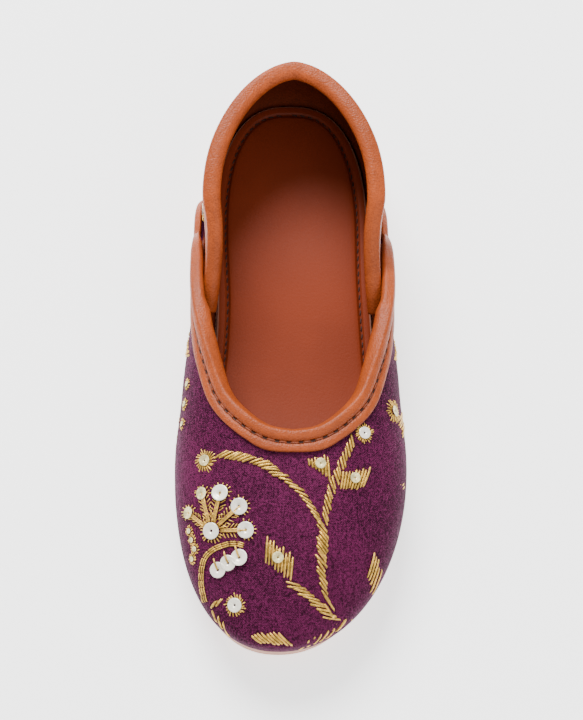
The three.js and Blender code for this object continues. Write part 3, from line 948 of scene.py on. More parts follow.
# Each eyelet: its middle, its ring's reach and its disc's radius. Some discs are gilt, and the rest are pale sequins.
EYELETS_PX = {
    "left": ((273.6, 460.5), 12.0, 5.6),
    "throat": ((432.6, 433.0), 10.5, 6.0),
    "right": ((462.4, 411.4), 12.5, 5.6),
    "toe": ((303.6, 605.0), 11.5, 7.0),
}
GILT_EYELETS = ("left", "right")
# The flower's middle, and how many short rays stand round it.
FLOWER_PX = (280.6, 531.0)
FLOWER_RAYS = 20
# The sequins and discs round it: middles and radii. One with a radius over the first number is a pale sequin.
PALE_OVER_PX = 7
PETALS_PX = ((258, 513, 6.0), (271, 493.5, 6.2), (289, 493, 8.2), (308, 506.5, 8.2), (314.5, 530, 8.2))
DROPS_PX = ((308, 557.5, 8.2), (297, 563, 7.8), (287, 570, 7.8))
LOOPS_PX = (
    (258, 531, 4.5),
    (260.5, 540, 4.5),
    (263.5, 549, 4.5),
    (261, 559, 4.5),
    (256, 384, 4.8),
    (253.5, 404, 5.0),
    (251, 424, 4.8),
)
LEAF_DISCS_PX = ((389, 463.5, 5.2), (423, 478, 5.2), (346.5, 557.5, 5.6))
# The threads that arch over the drops.
ARCH_PX = ((319, 549), (310, 544.5), (300, 543.5), (290, 546), (281, 550))
ARCH_PX += ((274, 557), (271, 566), (270, 578), (271, 590), (275, 606))

# The same work on the sides that the photograph hides: distances from the heel's back and heights over the sole's
# edge, in millimetres.
SIDE_VINES = {
    "quarter_rise": ([(5, 2), (9, 5), (13, 9), (17, 14), (20, 19), (22, 24)], (62, 74), 4.6),
    "quarter_foot": ([(7, 3.5), (12, 6), (17, 6), (22, 4), (27, 2)], (58, -38), 4.6),
    "quarter_front": ([(30, 2.5), (33, 4), (35, 6.5)], (60, 90), 3.4),
}
SIDE_VAMP_VINES = {
    "vamp_foot": ([(52, 3.5), (62, 4.5), (74, 6), (88, 6.5), (102, 6), (114, 5)], (38, 34), 5.0),
    "vamp_rise": ([(74, 7), (79, 11), (84, 15), (87, 18)], (70, 80), 4.2),
}
SIDE_LEAVES = {
    "back_high": (((4.5, 21), (6.5, 24)), ((7.5, 27), (10, 29.5)), 6),
    "back_low": (((3, 12), (5, 15.5)), ((6, 13), (8, 17)), 5),
    "rise_left": (((11, 16.5), (8.5, 20)), ((15.5, 21.5), (12, 26)), 7),
    "rise_right": (((19, 13.5), (17, 18)), ((25, 14), (24, 17.5)), 7),
    "foot": (((9, 0.8), (10, 3.5)), ((13, 0.5), (12.5, 4)), 5),
    "front": (((37.5, 15), (40, 18.5)), ((41, 7.5), (44, 10.5)), 8),
    "top": (((18, 29), (18, 31)), ((23.5, 29), (23.5, 31)), 6),
}
SIDE_EYELETS = {"rise": ((24.5, 27), 3.0, 1.8), "top_rear": ((41, 25.5), 2.6, 1.6), "top_front": ((46, 23), 2.4, 1.5)}
SIDE_DISCS = ((23, 7.5, 2.2), (27, 8.3, 2.2), (31, 9.5, 2.2), (41, 12.5, 1.7))


def photo_ray(px, py):
    across = (px - SHOE_MIDDLE_PX[0]) / FOCAL_PX
    up = (SHOE_MIDDLE_PX[1] - py) / FOCAL_PX
    return (VIEW_AHEAD + VIEW_RIGHT * across + VIEW_UP * up).normalized()


class Cloth:
    """The cloth that carries the needlework, found by a pixel of the photograph or by a place on the shoe's side."""

    def __init__(self, bm):
        self.tree = BVHTree.FromBMesh(bm)

    def by_pixel(self, spot):
        place, normal, _, _ = self.tree.ray_cast(VIEW_PLACE, photo_ray(*spot), 2.0)
        if place is None:
            ahead = VIEW_PLACE + photo_ray(*spot) * VIEW_DISTANCE
            place, normal, _, _ = self.tree.find_nearest(ahead)
        return place, normal

    def by_side(self, side):
        def find(spot):
            along, height = spot
            at = at_of(along, "upper")
            rise = rise_at(side, at, height + sole_top(along / SHOE_LENGTH))
            point = to_frame(face_point(side, at, rise, 3.0))
            normal = face_frame(side, at, rise)[2]
            place, found, _, _ = self.tree.ray_cast(point, -normal, 0.02)
            if place is None:
                place, found, _, _ = self.tree.find_nearest(point)
            return place, found

        return find


def path_points(path, pitch):
    """Places at an even pitch along a smooth path, each with its share of the way and its heading."""
    fine = [spline(path, share) for share in spread(0.0, 1.0, 1500)]
    out, since, total = [], 0.0, sum(math.dist(a, b) for a, b in zip(fine, fine[1:]))
    done = 0.0
    for a, b in zip(fine, fine[1:]):
        gap = math.dist(a, b)
        since += gap
        done += gap
        if since >= pitch:
            since -= pitch
            out.append((b, done / total, ((b[0] - a[0]) / gap, (b[1] - a[1]) / gap)))
    return out


# Below this sine of their crossing angle a vine's strands lie in two rows along its path. Then how closely they follow
# each other there, how far apart the rows are, and how far beside each strand its thin second one lies.
ROWS_BELOW = 0.3
ROW_PACE = 2.2
ROW_ASIDE = 0.45
SECOND_BESIDE = 0.4


class Embroidery:
    """Metal thread, sequins and foil discs on a cloth. Find turns a place into a point, and unit its steps into mm."""

    def __init__(self, cloth, find, unit, chance):
        self.cloth = cloth
        self.find = find
        self.unit = unit
        self.chance = chance
        # A pixel's second number grows downwards, and a height on the shoe's side upwards.
        self.flip = 1 if unit < 1 else -1

    def thread(self, basket, a, b, radius=0.36, lift=0.12):
        self.lay(basket, self.find(a), self.find(b), radius, lift)

    def lay(self, basket, first, last, radius, lift):
        (pa, na), (pb, nb) = first, last
        normal = (na + nb).normalized()
        rise = normal * lift * MM
        if (pb - pa).length < 0.03:
            basket.stitch(STITCH["metal"], pa + rise, pb + rise, normal, radius)

    def vine(self, basket, path, slants, length, spacing=0.82):
        """Slanted strands side by side along a path, or in two rows where they run along it."""
        step, due, count = 0.1, 0.0, 0
        for spot, share, ahead in path_points(path, step / self.unit):
            heading = math.atan2(-ahead[1] * self.flip, ahead[0])
            turn = math.radians(mix(slants[0], slants[1], share))
            cross = abs(math.sin(turn - heading))
            in_rows = cross <= ROWS_BELOW
            due += step * (ROW_PACE / (length * self.unit) if in_rows else cross / spacing)
            if due < 1:
                continue
            due -= 1 + self.chance.uniform(-0.15, 0.15)
            count += 1
            turn += math.radians(self.chance.uniform(-6, 6))
            reach = length / 2 * self.chance.uniform(0.95, 1.3)
            run = (math.cos(turn) * reach, -math.sin(turn) * reach * self.flip)
            aside = (-ROW_ASIDE, ROW_ASIDE)[count % 2] if in_rows else self.chance.uniform(-0.1, 0.1)
            slip = self.chance.uniform(-0.08, 0.08)
            middle = (
                spot[0] - run[1] / reach * aside / self.unit + run[0] * slip,
                spot[1] + run[0] / reach * aside / self.unit + run[1] * slip,
            )
            a = (middle[0] - run[0], middle[1] - run[1])
            b = (middle[0] + run[0], middle[1] + run[1])
            self.thread(basket, a, b, self.chance.uniform(0.3, 0.38), self.chance.uniform(0.1, 0.35))
            beside = [[p + way * SECOND_BESIDE / self.unit for p, way in zip(spot, ahead)] for spot in (a, b)]
            self.thread(basket, *beside, 0.15, 0.05)

    def leaf(self, basket, first, last, count):
        """Upright stitches side by side, with uneven ends and a low one between each two."""
        for k in range(count * 2 - 1):
            t = k / (count * 2 - 2)
            a = [mix(p, q, t) for p, q in zip(first[0], last[0])]
            b = [mix(p, q, t) for p, q in zip(first[1], last[1])]
            if k % 2:
                cut = (self.chance.uniform(0.1, 0.3), self.chance.uniform(0.7, 0.95))
            else:
                cut = (self.chance.uniform(-0.12, 0.08), self.chance.uniform(0.92, 1.12))
            a, b = ([mix(p, q, c) for p, q in zip(a, b)] for c in cut)
            self.thread(basket, a, b, 0.2 if k % 2 else 0.33, -0.05 if k % 2 else 0.22)

    def ring(self, basket, middle, reach, inner, count=22):
        """Short rays round a place, laid flat on the cloth."""
        place, normal = self.find(middle)
        first = normal.orthogonal().normalized()
        second = normal.cross(first)

        def spot(turn, out):
            flat = place + (first * math.cos(turn) + second * math.sin(turn)) * out * self.unit * MM
            found, here, _, _ = self.cloth.tree.find_nearest(flat)
            return found, here

        for k in range(count):
            turn = 2 * math.pi * (k + self.chance.uniform(-0.2, 0.2)) / count
            out = reach * self.chance.uniform(0.82, 1.08)
            self.lay(basket, spot(turn, inner * 0.7), spot(turn + 0.3, out), self.chance.uniform(0.17, 0.24), 0.12)

    def disc(self, basket, middle, radius, lift=0.4, tilt=0.1):
        place, normal = self.find(middle)
        lean = (self.chance.uniform(-tilt, tilt), self.chance.uniform(-tilt, tilt))
        basket.disc(STITCH["disc"], place + normal * lift * MM, normal, radius, lean)

    def along(self, basket, path, rows, length=2.6, spread=0.55, radius=0.22):
        """Threads laid side by side along a path."""
        points = [spot for spot, _, _ in path_points(path, length * 0.8 / self.unit)]
        for a, b in zip(points, points[1:]):
            run = (b[0] - a[0], b[1] - a[1])
            size = math.hypot(*run) or 1.0
            across = (-run[1] / size, run[0] / size)
            for row in range(rows):
                off = (row - (rows - 1) / 2) * spread / self.unit
                p = (a[0] + across[0] * off, a[1] + across[1] * off)
                q = (b[0] + across[0] * off, b[1] + across[1] * off)
                self.thread(basket, p, q, radius, 0.2)


STITCH = {}
CLOTHS = {}


# ---------------------------------------------------------------- sizes and colours


class MojariLook(bpy.types.PropertyGroup):
    cloth_colour: FloatVectorProperty(
        name="Cloth", description="The plum cloth's own colour", subtype="COLOR", default=(0.012, 0.0003, 0.0055)
    )
    cloth_light: FloatVectorProperty(
        name="Cloth slubs", description="The cloth's lighter threads", subtype="COLOR", default=(0.12, 0.01, 0.058)
    )
    leather_colour: FloatVectorProperty(
        name="Binding", description="The bindings' leather", subtype="COLOR", default=(0.33, 0.057, 0.008)
    )
    insole_colour: FloatVectorProperty(
        name="Insole", description="The insole's coated leather", subtype="COLOR", default=(0.19, 0.026, 0.006)
    )
    lining_colour: FloatVectorProperty(
        name="Lining", description="The lining inside the upper", subtype="COLOR", default=(0.15, 0.024, 0.007)
    )
    sole_colour: FloatVectorProperty(
        name="Sole", description="The moulded sole", subtype="COLOR", default=(0.52, 0.27, 0.19)
    )
    metal_colour: FloatVectorProperty(
        name="Metal thread", description="The gold-coloured thread", subtype="COLOR", default=(0.88, 0.53, 0.1)
    )
    sequin_colour: FloatVectorProperty(
        name="Sequins", description="The pale foil of the sequins", subtype="COLOR", default=(1.0, 0.94, 0.79)
    )
    weave_pitch: FloatProperty(
        name="Weave", description="From one thread of the cloth to the next but one", unit="LENGTH", default=0.00062
    )
    stitch_pitch: FloatProperty(
        name="Binding stitch", description="From one needle hole to the next, in millimetres", default=3.0
    )
    insole_pitch: FloatProperty(
        name="Insole stitch", description="From one stitch to the next, in millimetres", default=2.3
    )
    insole_seam: FloatProperty(
        name="Insole seam", description="How far the seam lies in from the insole's edge, in millimetres", default=3.0
    )
    tooth_pitch: FloatProperty(
        name="Sole teeth", description="From one moulded tooth to the next, in millimetres", default=1.5
    )


def look():
    return bpy.context.scene.mojari_look


# ---------------------------------------------------------------- pieces


class MOJARI_OT_cloth(bpy.types.Operator):
    """Cut the vamp and the quarters in cloth, and line both"""

    bl_idname = "mojari.cloth"
    bl_label = "Cloth and linings"

    def execute(self, context):
        cloth = cloth_finish(look())
        lining = leather_finish("lining_leather", look().lining_colour, look(), False, 0.55, 0.2)
        for name, stop, lift, steps in (
            ("vamp_cloth", vamp_stop, lap_lift, (220, 56)),
            ("quarter_cloth", quarter_stop, quarter_lift, (170, 44)),
        ):
            bm = wall(stop, lift, *steps)
            CLOTHS[name] = Cloth(bm)
            piece = finish_piece(bm, name, cloth, ["upper"])
            thicken(piece, CLOTH_THICKNESS, False)
        for name, stop, lift, steps in (
            ("vamp_lining", vamp_stop, lap_lift, (150, 36)),
            ("quarter_lining", quarter_stop, quarter_lift, (120, 30)),
        ):
            bm = wall(stop, lambda at, rise: lift(at, rise) - UPPER_WALL, *steps)
            piece = finish_piece(bm, name, lining, ["upper"])
            thicken(piece, LINING_THICKNESS, True)
        return {"FINISHED"}


class MOJARI_OT_bindings(bpy.types.Operator):
    """Fold the leather over both edges, with its bead, flange and seam"""

    bl_idname = "mojari.bindings"
    bl_label = "Bindings"

    def execute(self, context):
        leather = leather_finish("binding_leather", look().leather_colour, look())
        thread = thread_finish("seam_thread", tuple(c * 0.8 for c in look().leather_colour), 0.0, 0.5)
        fold = UPPER_WALL + FLAP_GAP + BINDING_LEATHER
        collar = [quarter_stop(w)[:3] for w in spread(0.0, 1.0, 300)]
        collar = [stop for stop in collar if stop[1] < COLLAR_BINDING_END]

        def collar_room(stop):
            return fold, BEAD_SWELL * (1 - ramp((0.27, 0.32), stop[1])), 4.0

        def throat_room(stop):
            _, at, rise = stop
            free = ramp((0.47, 0.51), at)
            crossed = ramp((0.25, 0.31), at) * (1 - ramp((0.43, 0.46), at))
            below = FIT_GAP + (FIT_GAP + BINDING_LEATHER) * crossed
            lapped = min(fold, max(FIT_GAP, lap_lift(at, rise) - quarter_lift(at, rise) - below))
            return mix(lapped, fold, free), BEAD_SWELL, mix(-2 * FIT_GAP, 4.0, free)

        half = [(1, *edge_stop(VAMP_EDGE, s)) for s in spread(0.0, 1.0, 150)]
        throat = half + [(-1, at, rise) for _, at, rise in reversed(half[:-1])]
        throat = throat[::-1]
        basket = Workbasket()
        for name, stops, lift, room, node in (
            ("collar_binding", collar, quarter_lift, collar_room, "quarter_binding"),
            ("throat_binding", throat, lap_lift, throat_room, "vamp_binding"),
        ):
            maps, runs = binding(name, stops, lift, room, leather, node)
            sew(basket, maps, runs, look().stitch_pitch, 0.26, BINDING_LEATHER + FIT_GAP - 0.28)
        basket.piece("binding_stitches", thread, "binding_leather")
        return {"FINISHED"}


def sew(basket, maps, runs, pitch, radius, height):
    """A line of stitches in the seam, each between two needle holes."""

    def at_run(run, high):
        i, t = locate(runs, run)
        return to_frame(maps[i](SEAM_DEPTH, high).lerp(maps[i + 1](SEAM_DEPTH, high), t))

    for k in range(1, int(runs[-1] / pitch)):
        a, b = at_run((k - 0.38) * pitch, height), at_run((k + 0.38) * pitch, height)
        over = at_run(k * pitch, height + 1.0) - at_run(k * pitch, height)
        basket.stitch(STITCH["seam"], a, b, over.normalized(), radius)


def inset_edge(side, at, inset):
    """The sole's outline pushed in, measured square to it."""
    x, along = outline(side, at, "sole")
    before = outline(*wrap(side, at - PROBE), "sole")
    after = outline(*wrap(side, at + PROBE), "sole")
    run = Vector((after[0] - before[0], after[1] - before[1])).normalized()
    return x - side * run.y * inset, along + side * run.x * inset


class Rim:
    """The outline at one inset, and how far a place lies in from it and round it."""

    def __init__(self, inset, steps=900):
        ats = spread(0.0, 1.0, steps)
        self.points = [Vector((*inset_edge(1, at, inset), 0)) for at in ats]
        self.points += [Vector((*inset_edge(-1, at, inset), 0)) for at in ats[-2:0:-1]]
        self.tree = KDTree(len(self.points))
        self.runs = [0.0]
        for i, point in enumerate(self.points):
            self.tree.insert(point, i)
            if i:
                self.runs.append(self.runs[-1] + (point - self.points[i - 1]).length)
        self.tree.balance()

    def find(self, x, along):
        place = Vector((x, along, 0))
        _, i, near = self.tree.find(place)
        for j in (i - 1, (i + 1) % len(self.points)):
            a, b = self.points[i], self.points[j]
            run = b - a
            if run.length < 1e-9:
                continue
            t = clamp01((place - a).dot(run) / run.dot(run))
            near = min(near, (place - a - run * t).length)
        return near, self.runs[i]


def slab(inset, ats, columns, rounding, top, under):
    """A closed slab on the sole's outline. Columns are insets from each edge and places by the middle line."""
    rim = Rim(inset)
    insets, middles = columns
    rows = []
    for at, fixed in ats:
        (ax, aa), (bx, ba) = inset_edge(-1, at, inset), inset_edge(1, at, inset)
        rows.append((ax, bx, (aa + ba) / 2 if fixed is None else fixed))
    reach = max(insets)
    span = max(abs(m) for m in middles) + 0.5

    def across(row):
        ax, bx, _ = row
        half, centre = (bx - ax) / 2, (ax + bx) / 2
        k = min(1.0, half / (reach + span))
        left = [ax + d * k for d in insets]
        right = [bx - d * k for d in reversed(insets)]
        return left + [centre + m * k for m in middles] + right

    count = len(insets) * 2 + len(middles)
    walls = 3
    loop = count * 2 + walls * 2
    places = []
    for row in rows:
        xs, along = across(row), row[2]
        ring = []
        for x in xs:
            ring.append((x, along, "top"))
        for k in range(walls):
            ring.append((xs[-1], along, (k + 1) / (walls + 1)))
        for x in reversed(xs):
            ring.append((x, along, "under"))
        for k in range(walls):
            ring.append((xs[0], along, 1 - (k + 1) / (walls + 1)))
        places.append(ring)
    facts = {}

    def place(u, v):
        i, j = round(u * (len(rows) - 1)), round(v * loop) % loop
        x, along, level = places[i][j]
        near, run = rim.find(x, along)
        near = near if near > 1e-3 else 0.0
        facts[(i, j)] = (near, run)
        drop = rounding - math.sqrt(max(0.0, rounding**2 - max(0.0, rounding - near) ** 2))
        high, low = top(along, near), under(x, along, near)
        if level == "top":
            z = high - drop
        elif level == "under":
            z = low + drop
        else:
            z = mix(high - rounding, low + rounding, level)
        return Vector((x, -along, z))

    bm, spots = mapped_grid(len(rows) - 1, loop, place)
    edge = bm.verts.layers.float.new("edge")
    run = bm.verts.layers.float.new("run")
    for v in bm.verts:
        i, j = spots[v.index]
        v[edge], v[run] = facts[(i, j % loop)]
    bmesh.ops.remove_doubles(bm, verts=bm.verts[:], dist=WELD)
    bmesh.ops.recalc_face_normals(bm, faces=bm.faces[:])
    return bm


class MOJARI_OT_insole(bpy.types.Operator):
    """Lay the padded insole, and sew round it"""

    bl_idname = "mojari.insole"
    bl_label = "Insole"

    def execute(self, context):
        inset = UPPER_WALL + FIT_GAP
        ats = [(at, None) for at in spread(0.0, 1.0, 150)]
        insets = [0, 0.15, 0.4, 0.8, 1.3, 2.0, 2.6, 3.0, 3.4, 4.0, 5.0, 6.5]
        middles = [-8, -5, -2.5, 0, 2.5, 5, 8]

        def top(along, near):
            seam = 0.35 * math.exp(-(((near - look().insole_seam) / 0.5) ** 2))
            return sole_top(along / SHOE_LENGTH) + FIT_GAP + INSOLE_THICKNESS - seam + 0.25 * smooth(clamp01(near / 8))

        def under(x, along, near):
            return sole_top(along / SHOE_LENGTH) + 0.05

        bm = slab(inset, ats, (insets, middles), 0.9, top, under)
        finish_piece(bm, "insole_sock", insole_finish(look()), ["insole"])
        thread = thread_finish("sock_thread", rgba(look().insole_colour, 0.22)[:3], 0.0, 0.6)
        basket = Workbasket()
        rim = Rim(inset + look().insole_seam)
        pitch = look().insole_pitch
        want, spots = 0.0, []
        while want < rim.runs[-1]:
            i, t = locate(rim.runs, want)
            flat = rim.points[i].lerp(rim.points[i + 1], t)
            spots.append(to_frame(Vector((flat.x, -flat.y, top(flat.y, look().insole_seam) + 0.12))))
            want += pitch
        for a, b in zip(spots, spots[1:]):
            lean = (b - a).cross(Vector((0, 0, 1))).normalized() * 0.16 * MM
            basket.stitch(STITCH["seam"], a.lerp(b, 0.14) - lean, a.lerp(b, 0.86) + lean, Vector((0, 0, 1)), 0.19)
        basket.piece("insole_stitches", thread, "insole_leather")
        return {"FINISHED"}


# The heel's breast is bowed: how far ahead and behind it, how high and how far aside its points are moved. Then half
# the run of the breast's wall and of a groove's, in millimetres as well.
BREAST_REACH = 3.3
BREAST_TOP = 6.5
BREAST_HALF = SOLE_WIDTH / 2 * 0.86
BREAST_EASE = 0.12
GROOVE_EASE = 0.07


class MOJARI_OT_sole(bpy.types.Operator):
    """Mould the sole: heel, waist panel, ribs and rounded edges"""

    bl_idname = "mojari.sole"
    bl_label = "Sole"

    def execute(self, context):
        grooves = []
        along = HEEL_RIBS["pitch"]
        while along < HEEL_BREAST - HEEL_RIBS["pitch"]:
            grooves.append((along, HEEL_RIBS["groove"] / 2, 0.0))
            along += HEEL_RIBS["pitch"]
        along = FORE_RIBS["start"]
        while along < FORE_RIBS["end"]:
            grooves.append((along, FORE_RIBS["groove"] / 2, FORE_RIBS["margin"]))
            along += FORE_RIBS["pitch"]
        middle = (HEEL_BREAST + FORE_RIBS["start"]) / 2
        ease = (-GROOVE_EASE, GROOVE_EASE)
        marks = [g + s * (h + e) for g, h, _ in grooves for s in (-1, 1) for e in ease]
        for reach in (PANEL["length"] / 2, PANEL["length"] / 2 - PANEL["frame"]):
            marks += [middle + s * reach + e for s in (-1, 1) for e in ease]
        marks += [HEEL_BREAST + e for e in (-3.2, -1.2, -BREAST_EASE, BREAST_EASE, 1.2, 3.2)]
        stations = [(at_of(m), m) for m in marks]
        for at in spread(0.0, 1.0, 150):
            here = outline(1, at, "sole")[1]
            if min(abs(here - m) for m in marks) > 0.25:
                stations.append((at, None))
        stations.sort(key=lambda s: s[0])
        insets = [0, 0.1, 0.25, 0.5, 0.9, 1.6, 2.4, 3.2, 4.3, 5.4, 6.5, 7.93, 8.07]
        half, thin = PANEL["width"] / 2, PANEL["width"] / 2 - PANEL["frame"]
        middles = [-half - GROOVE_EASE, -half + GROOVE_EASE, -thin - GROOVE_EASE, -thin + GROOVE_EASE, -3.5, 0.0]
        middles += [-m for m in reversed(middles[:-1])]

        def groove(x, along, near):
            deep = 0.0
            for place, wide, margin in grooves:
                off = abs(along - place)
                if off < wide + GROOVE_EASE and near >= margin:
                    deep = max(deep, clamp01((wide + GROOVE_EASE - off) / (2 * GROOVE_EASE)))
            off = max(abs(x) - half, abs(along - middle) - PANEL["length"] / 2)
            inside = max(abs(x) - thin, abs(along - middle) - PANEL["length"] / 2 + PANEL["frame"])
            within = clamp01((GROOVE_EASE - off) / (2 * GROOVE_EASE))
            frame_share = within * clamp01((inside + GROOVE_EASE) / (2 * GROOVE_EASE))
            return TREAD_DEPTH * max(deep, frame_share)

        def top(along, near):
            return sole_top(along / SHOE_LENGTH)

        def under(x, along, near):
            past = clamp01((along - HEEL_BREAST + BREAST_EASE) / (2 * BREAST_EASE))
            return (top(along, near) - SOLE_THICKNESS) * past + groove(x, along, near)

        bm = slab(-SOLE_LIP, stations, (insets, middles), 0.55, top, under)
        for v in bm.verts:
            off = abs(HEEL_BACK - v.co.y / MM - HEEL_BREAST)
            if off < BREAST_REACH and v.co.z / MM < BREAST_TOP:
                share = 1 - off / BREAST_REACH
                bow = 1 - min(1.0, abs(v.co.x / MM) / BREAST_HALF) ** 2
                v.co.y += BREAST_SWEEP * bow * min(1.0, 1.6 * share) * MM
        finish_piece(bm, "sole_unit", sole_finish(look()), ["outsole"])
        return {"FINISHED"}


def petal(work, basket, middle, tip, radius):
    """Threads from the flower's middle out to a sequin, feathered on both sides."""
    run = (tip[0] - middle[0], tip[1] - middle[1])
    size = math.hypot(*run)
    ahead, aside = (run[0] / size, run[1] / size), (-run[1] / size, run[0] / size)

    def spot(out, over):
        return (middle[0] + ahead[0] * out + aside[0] * over, middle[1] + ahead[1] * out + aside[1] * over)

    for over in (-1.3, 0.2, 1.4):
        far = size + (1.5 if over == 0.2 else -radius * 0.5)
        work.thread(basket, spot(8.5, over * 0.8), spot(far, over), 0.21, 0.6)
    for k in range(7):
        out = mix(0.32, 0.95, k / 6) * size
        for way in (-1, 1):
            wide = radius * work.chance.uniform(0.75, 1.0)
            work.thread(basket, spot(out, way * 2.2), spot(out + work.chance.uniform(2, 5), way * wide), 0.17, 0.15)
    for k in range(9):
        turn = math.radians(-100 + 200 * k / 8 + work.chance.uniform(-6, 6))
        near, far = radius * 0.9, radius * work.chance.uniform(1.25, 1.5)
        a = spot(size + math.cos(turn) * near, math.sin(turn) * near)
        b = spot(size + math.cos(turn) * far, math.sin(turn) * far)
        work.thread(basket, a, b, 0.17, 0.12)


class MOJARI_OT_needlework(bpy.types.Operator):
    """Work the vines, leaves, flower, eyelets and sequins in metal thread"""

    bl_idname = "mojari.needlework"
    bl_label = "Needlework"

    def execute(self, context):
        gold = thread_finish("metal_thread", look().metal_colour, 0.85, 0.32)
        foil = sequin_finish(look())
        disc_gold = thread_finish("foil_gold", (1.0, 0.85, 0.4), 0.2, 0.2, False)
        threads, discs, gilt = Workbasket(), Workbasket(), Workbasket()
        chance = random.Random(7)
        vamp, quarter = CLOTHS["vamp_cloth"], CLOTHS["quarter_cloth"]
        px = Embroidery(vamp, vamp.by_pixel, PIXEL_MM, chance)
        for path, slants, length in VINES_PX.values():
            px.vine(threads, path, slants, length)
        for first, last, count in LEAVES_PX.values():
            px.leaf(threads, first, last, count)
        for name, (middle, reach, disc) in EYELETS_PX.items():
            px.ring(threads, middle, reach, disc)
            px.disc(gilt if name in GILT_EYELETS else discs, middle, disc * px.unit)
        for x, y, r in LEAF_DISCS_PX:
            px.disc(gilt, (x, y), r * px.unit, 0.75)
        for x, y, r in PETALS_PX + DROPS_PX:
            px.disc(discs if r > PALE_OVER_PX else gilt, (x, y), r * px.unit, 0.5, 0.16)
        px.disc(discs, FLOWER_PX, 8.2 * px.unit, 0.6)
        for x, y, r in PETALS_PX:
            petal(px, threads, FLOWER_PX, (x, y), r)
        for k in range(FLOWER_RAYS):
            turn = 2 * math.pi * (k + chance.uniform(-0.3, 0.3)) / FLOWER_RAYS
            ray = (math.cos(turn), math.sin(turn))
            a = (FLOWER_PX[0] + ray[0] * 7, FLOWER_PX[1] + ray[1] * 7)
            b = (FLOWER_PX[0] + ray[0] * chance.uniform(11, 14), FLOWER_PX[1] + ray[1] * chance.uniform(11, 14))
            px.thread(threads, a, b, 0.2, 0.15)
        for x, y, r in LOOPS_PX:
            px.ring(threads, (x, y), r * 1.3, r, 11)
            px.disc(gilt, (x, y), r * 0.6 * px.unit, 0.3)
        px.along(threads, ARCH_PX, 3)
        for x, y, _ in DROPS_PX:
            px.thread(threads, (x - 4, y - 12), (x, y), 0.28, 0.85)
        side_work = (
            (quarter, SIDE_VINES, SIDE_LEAVES, SIDE_EYELETS, SIDE_DISCS),
            (vamp, SIDE_VAMP_VINES, {}, {}, ()),
        )
        for side in (-1, 1):
            for cloth, vines, leaves, eyelets, dots in side_work:
                mm = Embroidery(cloth, cloth.by_side(side), 1.0, chance)
                for path, slants, length in vines.values():
                    mm.vine(threads, path, slants, length)
                for first, last, count in leaves.values():
                    mm.leaf(threads, first, last, count)
                for middle, reach, disc in eyelets.values():
                    mm.ring(threads, middle, reach, disc, 15)
                    mm.disc(gilt, middle, disc)
                for x, y, r in dots:
                    mm.disc(discs, (x, y), r, 0.45)
        threads.piece("metal_threads", gold, "plum_cloth")
        discs.piece("sequins", foil, "plum_cloth")
        gilt.piece("gilt_discs", disc_gold, "plum_cloth")
        return {"FINISHED"}


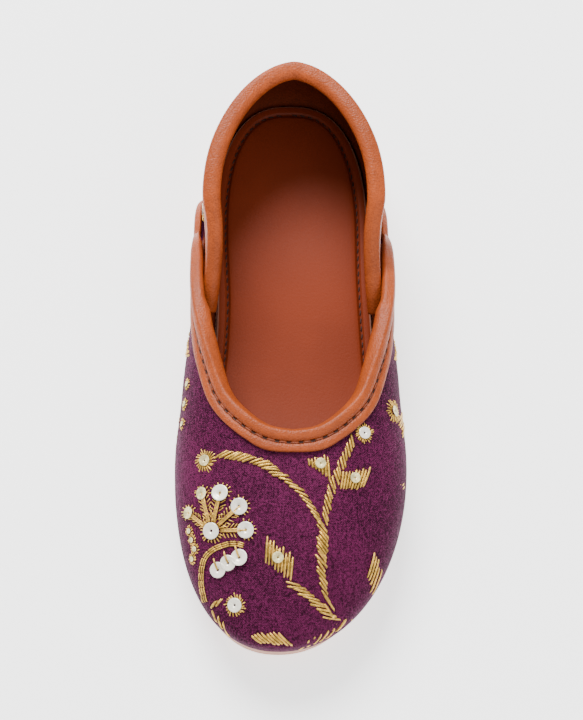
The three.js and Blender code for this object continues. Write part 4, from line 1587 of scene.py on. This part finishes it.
class MOJARI_OT_stage(bpy.types.Operator):
    """Set the pale floor, the soft lights and the camera"""

    bl_idname = "mojari.stage"
    bl_label = "Stage"

    def execute(self, context):
        scene = context.scene
        bm = bmesh.new()
        bmesh.ops.create_grid(bm, x_segments=1, y_segments=1, size=3.0)
        mesh = bpy.data.meshes.new("floor")
        bm.to_mesh(mesh)
        bm.free()
        floor = bpy.data.objects.new("floor", mesh)
        scene.collection.objects.link(floor)
        paper = Finish("studio_paper")
        paper.set(Base_Color=(0.96, 0.96, 0.96, 1), Roughness=0.9, Emission_Color=(1, 1, 1, 1), Emission_Strength=1.4)
        mesh.materials.append(paper.material)
        world = bpy.data.worlds.new("studio")
        world.use_nodes = True
        back = world.node_tree.nodes["Background"]
        back.inputs[0].default_value = (1, 1, 1, 1)
        back.inputs[1].default_value = 0.85
        scene.world = world
        for name, place, size, power in (
            ("key", (-0.26, 0.86, 1.09), 0.8, 42.0),
            ("fill", (0.5, -0.8, 1.1), 1.1, 7.0),
        ):
            lamp = bpy.data.lights.new(name, "AREA")
            lamp.shape = "DISK"
            lamp.size = size
            lamp.energy = power
            rig = bpy.data.objects.new(name, lamp)
            rig.location = place
            rig.rotation_euler = (Vector(place) - VIEW_TARGET).to_track_quat("Z", "Y").to_euler()
            scene.collection.objects.link(rig)
        lens = bpy.data.cameras.new("camera")
        lens.sensor_fit = "VERTICAL"
        lens.sensor_height = SENSOR_HEIGHT
        lens.lens = FOCAL_PX / PHOTO_HEIGHT_PX * SENSOR_HEIGHT
        lens.clip_start = 0.05
        camera = bpy.data.objects.new("camera", lens)
        turn = Matrix((VIEW_RIGHT, VIEW_UP, -VIEW_AHEAD)).transposed()
        camera.matrix_world = Matrix.Translation(VIEW_PLACE) @ turn.to_4x4()
        scene.collection.objects.link(camera)
        scene.camera = camera
        return {"FINISHED"}


class MOJARI_PT_panel(bpy.types.Panel):
    """The shoe's pieces, one button each"""

    bl_label = "Mojari"
    bl_idname = "MOJARI_PT_panel"
    bl_space_type = "VIEW_3D"
    bl_region_type = "UI"
    bl_category = "Mojari"

    def draw(self, context):
        for step in STEPS:
            self.layout.operator(step.bl_idname)
        for name in MojariLook.__annotations__:
            self.layout.prop(context.scene.mojari_look, name)


STEPS = (
    MOJARI_OT_cloth,
    MOJARI_OT_bindings,
    MOJARI_OT_insole,
    MOJARI_OT_sole,
    MOJARI_OT_needlework,
    MOJARI_OT_stage,
)
CLASSES = (MojariLook, *STEPS, MOJARI_PT_panel)


def register():
    for cls in CLASSES:
        bpy.utils.register_class(cls)
    bpy.types.Scene.mojari_look = PointerProperty(type=MojariLook)


def unregister():
    del bpy.types.Scene.mojari_look
    for cls in reversed(CLASSES):
        bpy.utils.unregister_class(cls)


def main():
    register()
    STITCH["metal"] = stitch_form("metal_stitch")
    STITCH["seam"] = stitch_form("seam_stitch", 0.9, 1.6)
    STITCH["disc"] = sequin_form("sequin")
    bpy.ops.mojari.cloth()
    bpy.ops.mojari.bindings()
    bpy.ops.mojari.insole()
    bpy.ops.mojari.sole()
    bpy.ops.mojari.needlework()
    bpy.ops.mojari.stage()
    for form in STITCH.values():
        bpy.data.meshes.remove(form)
    bpy.context.view_layer.update()


if __name__ == "__main__":
    main()
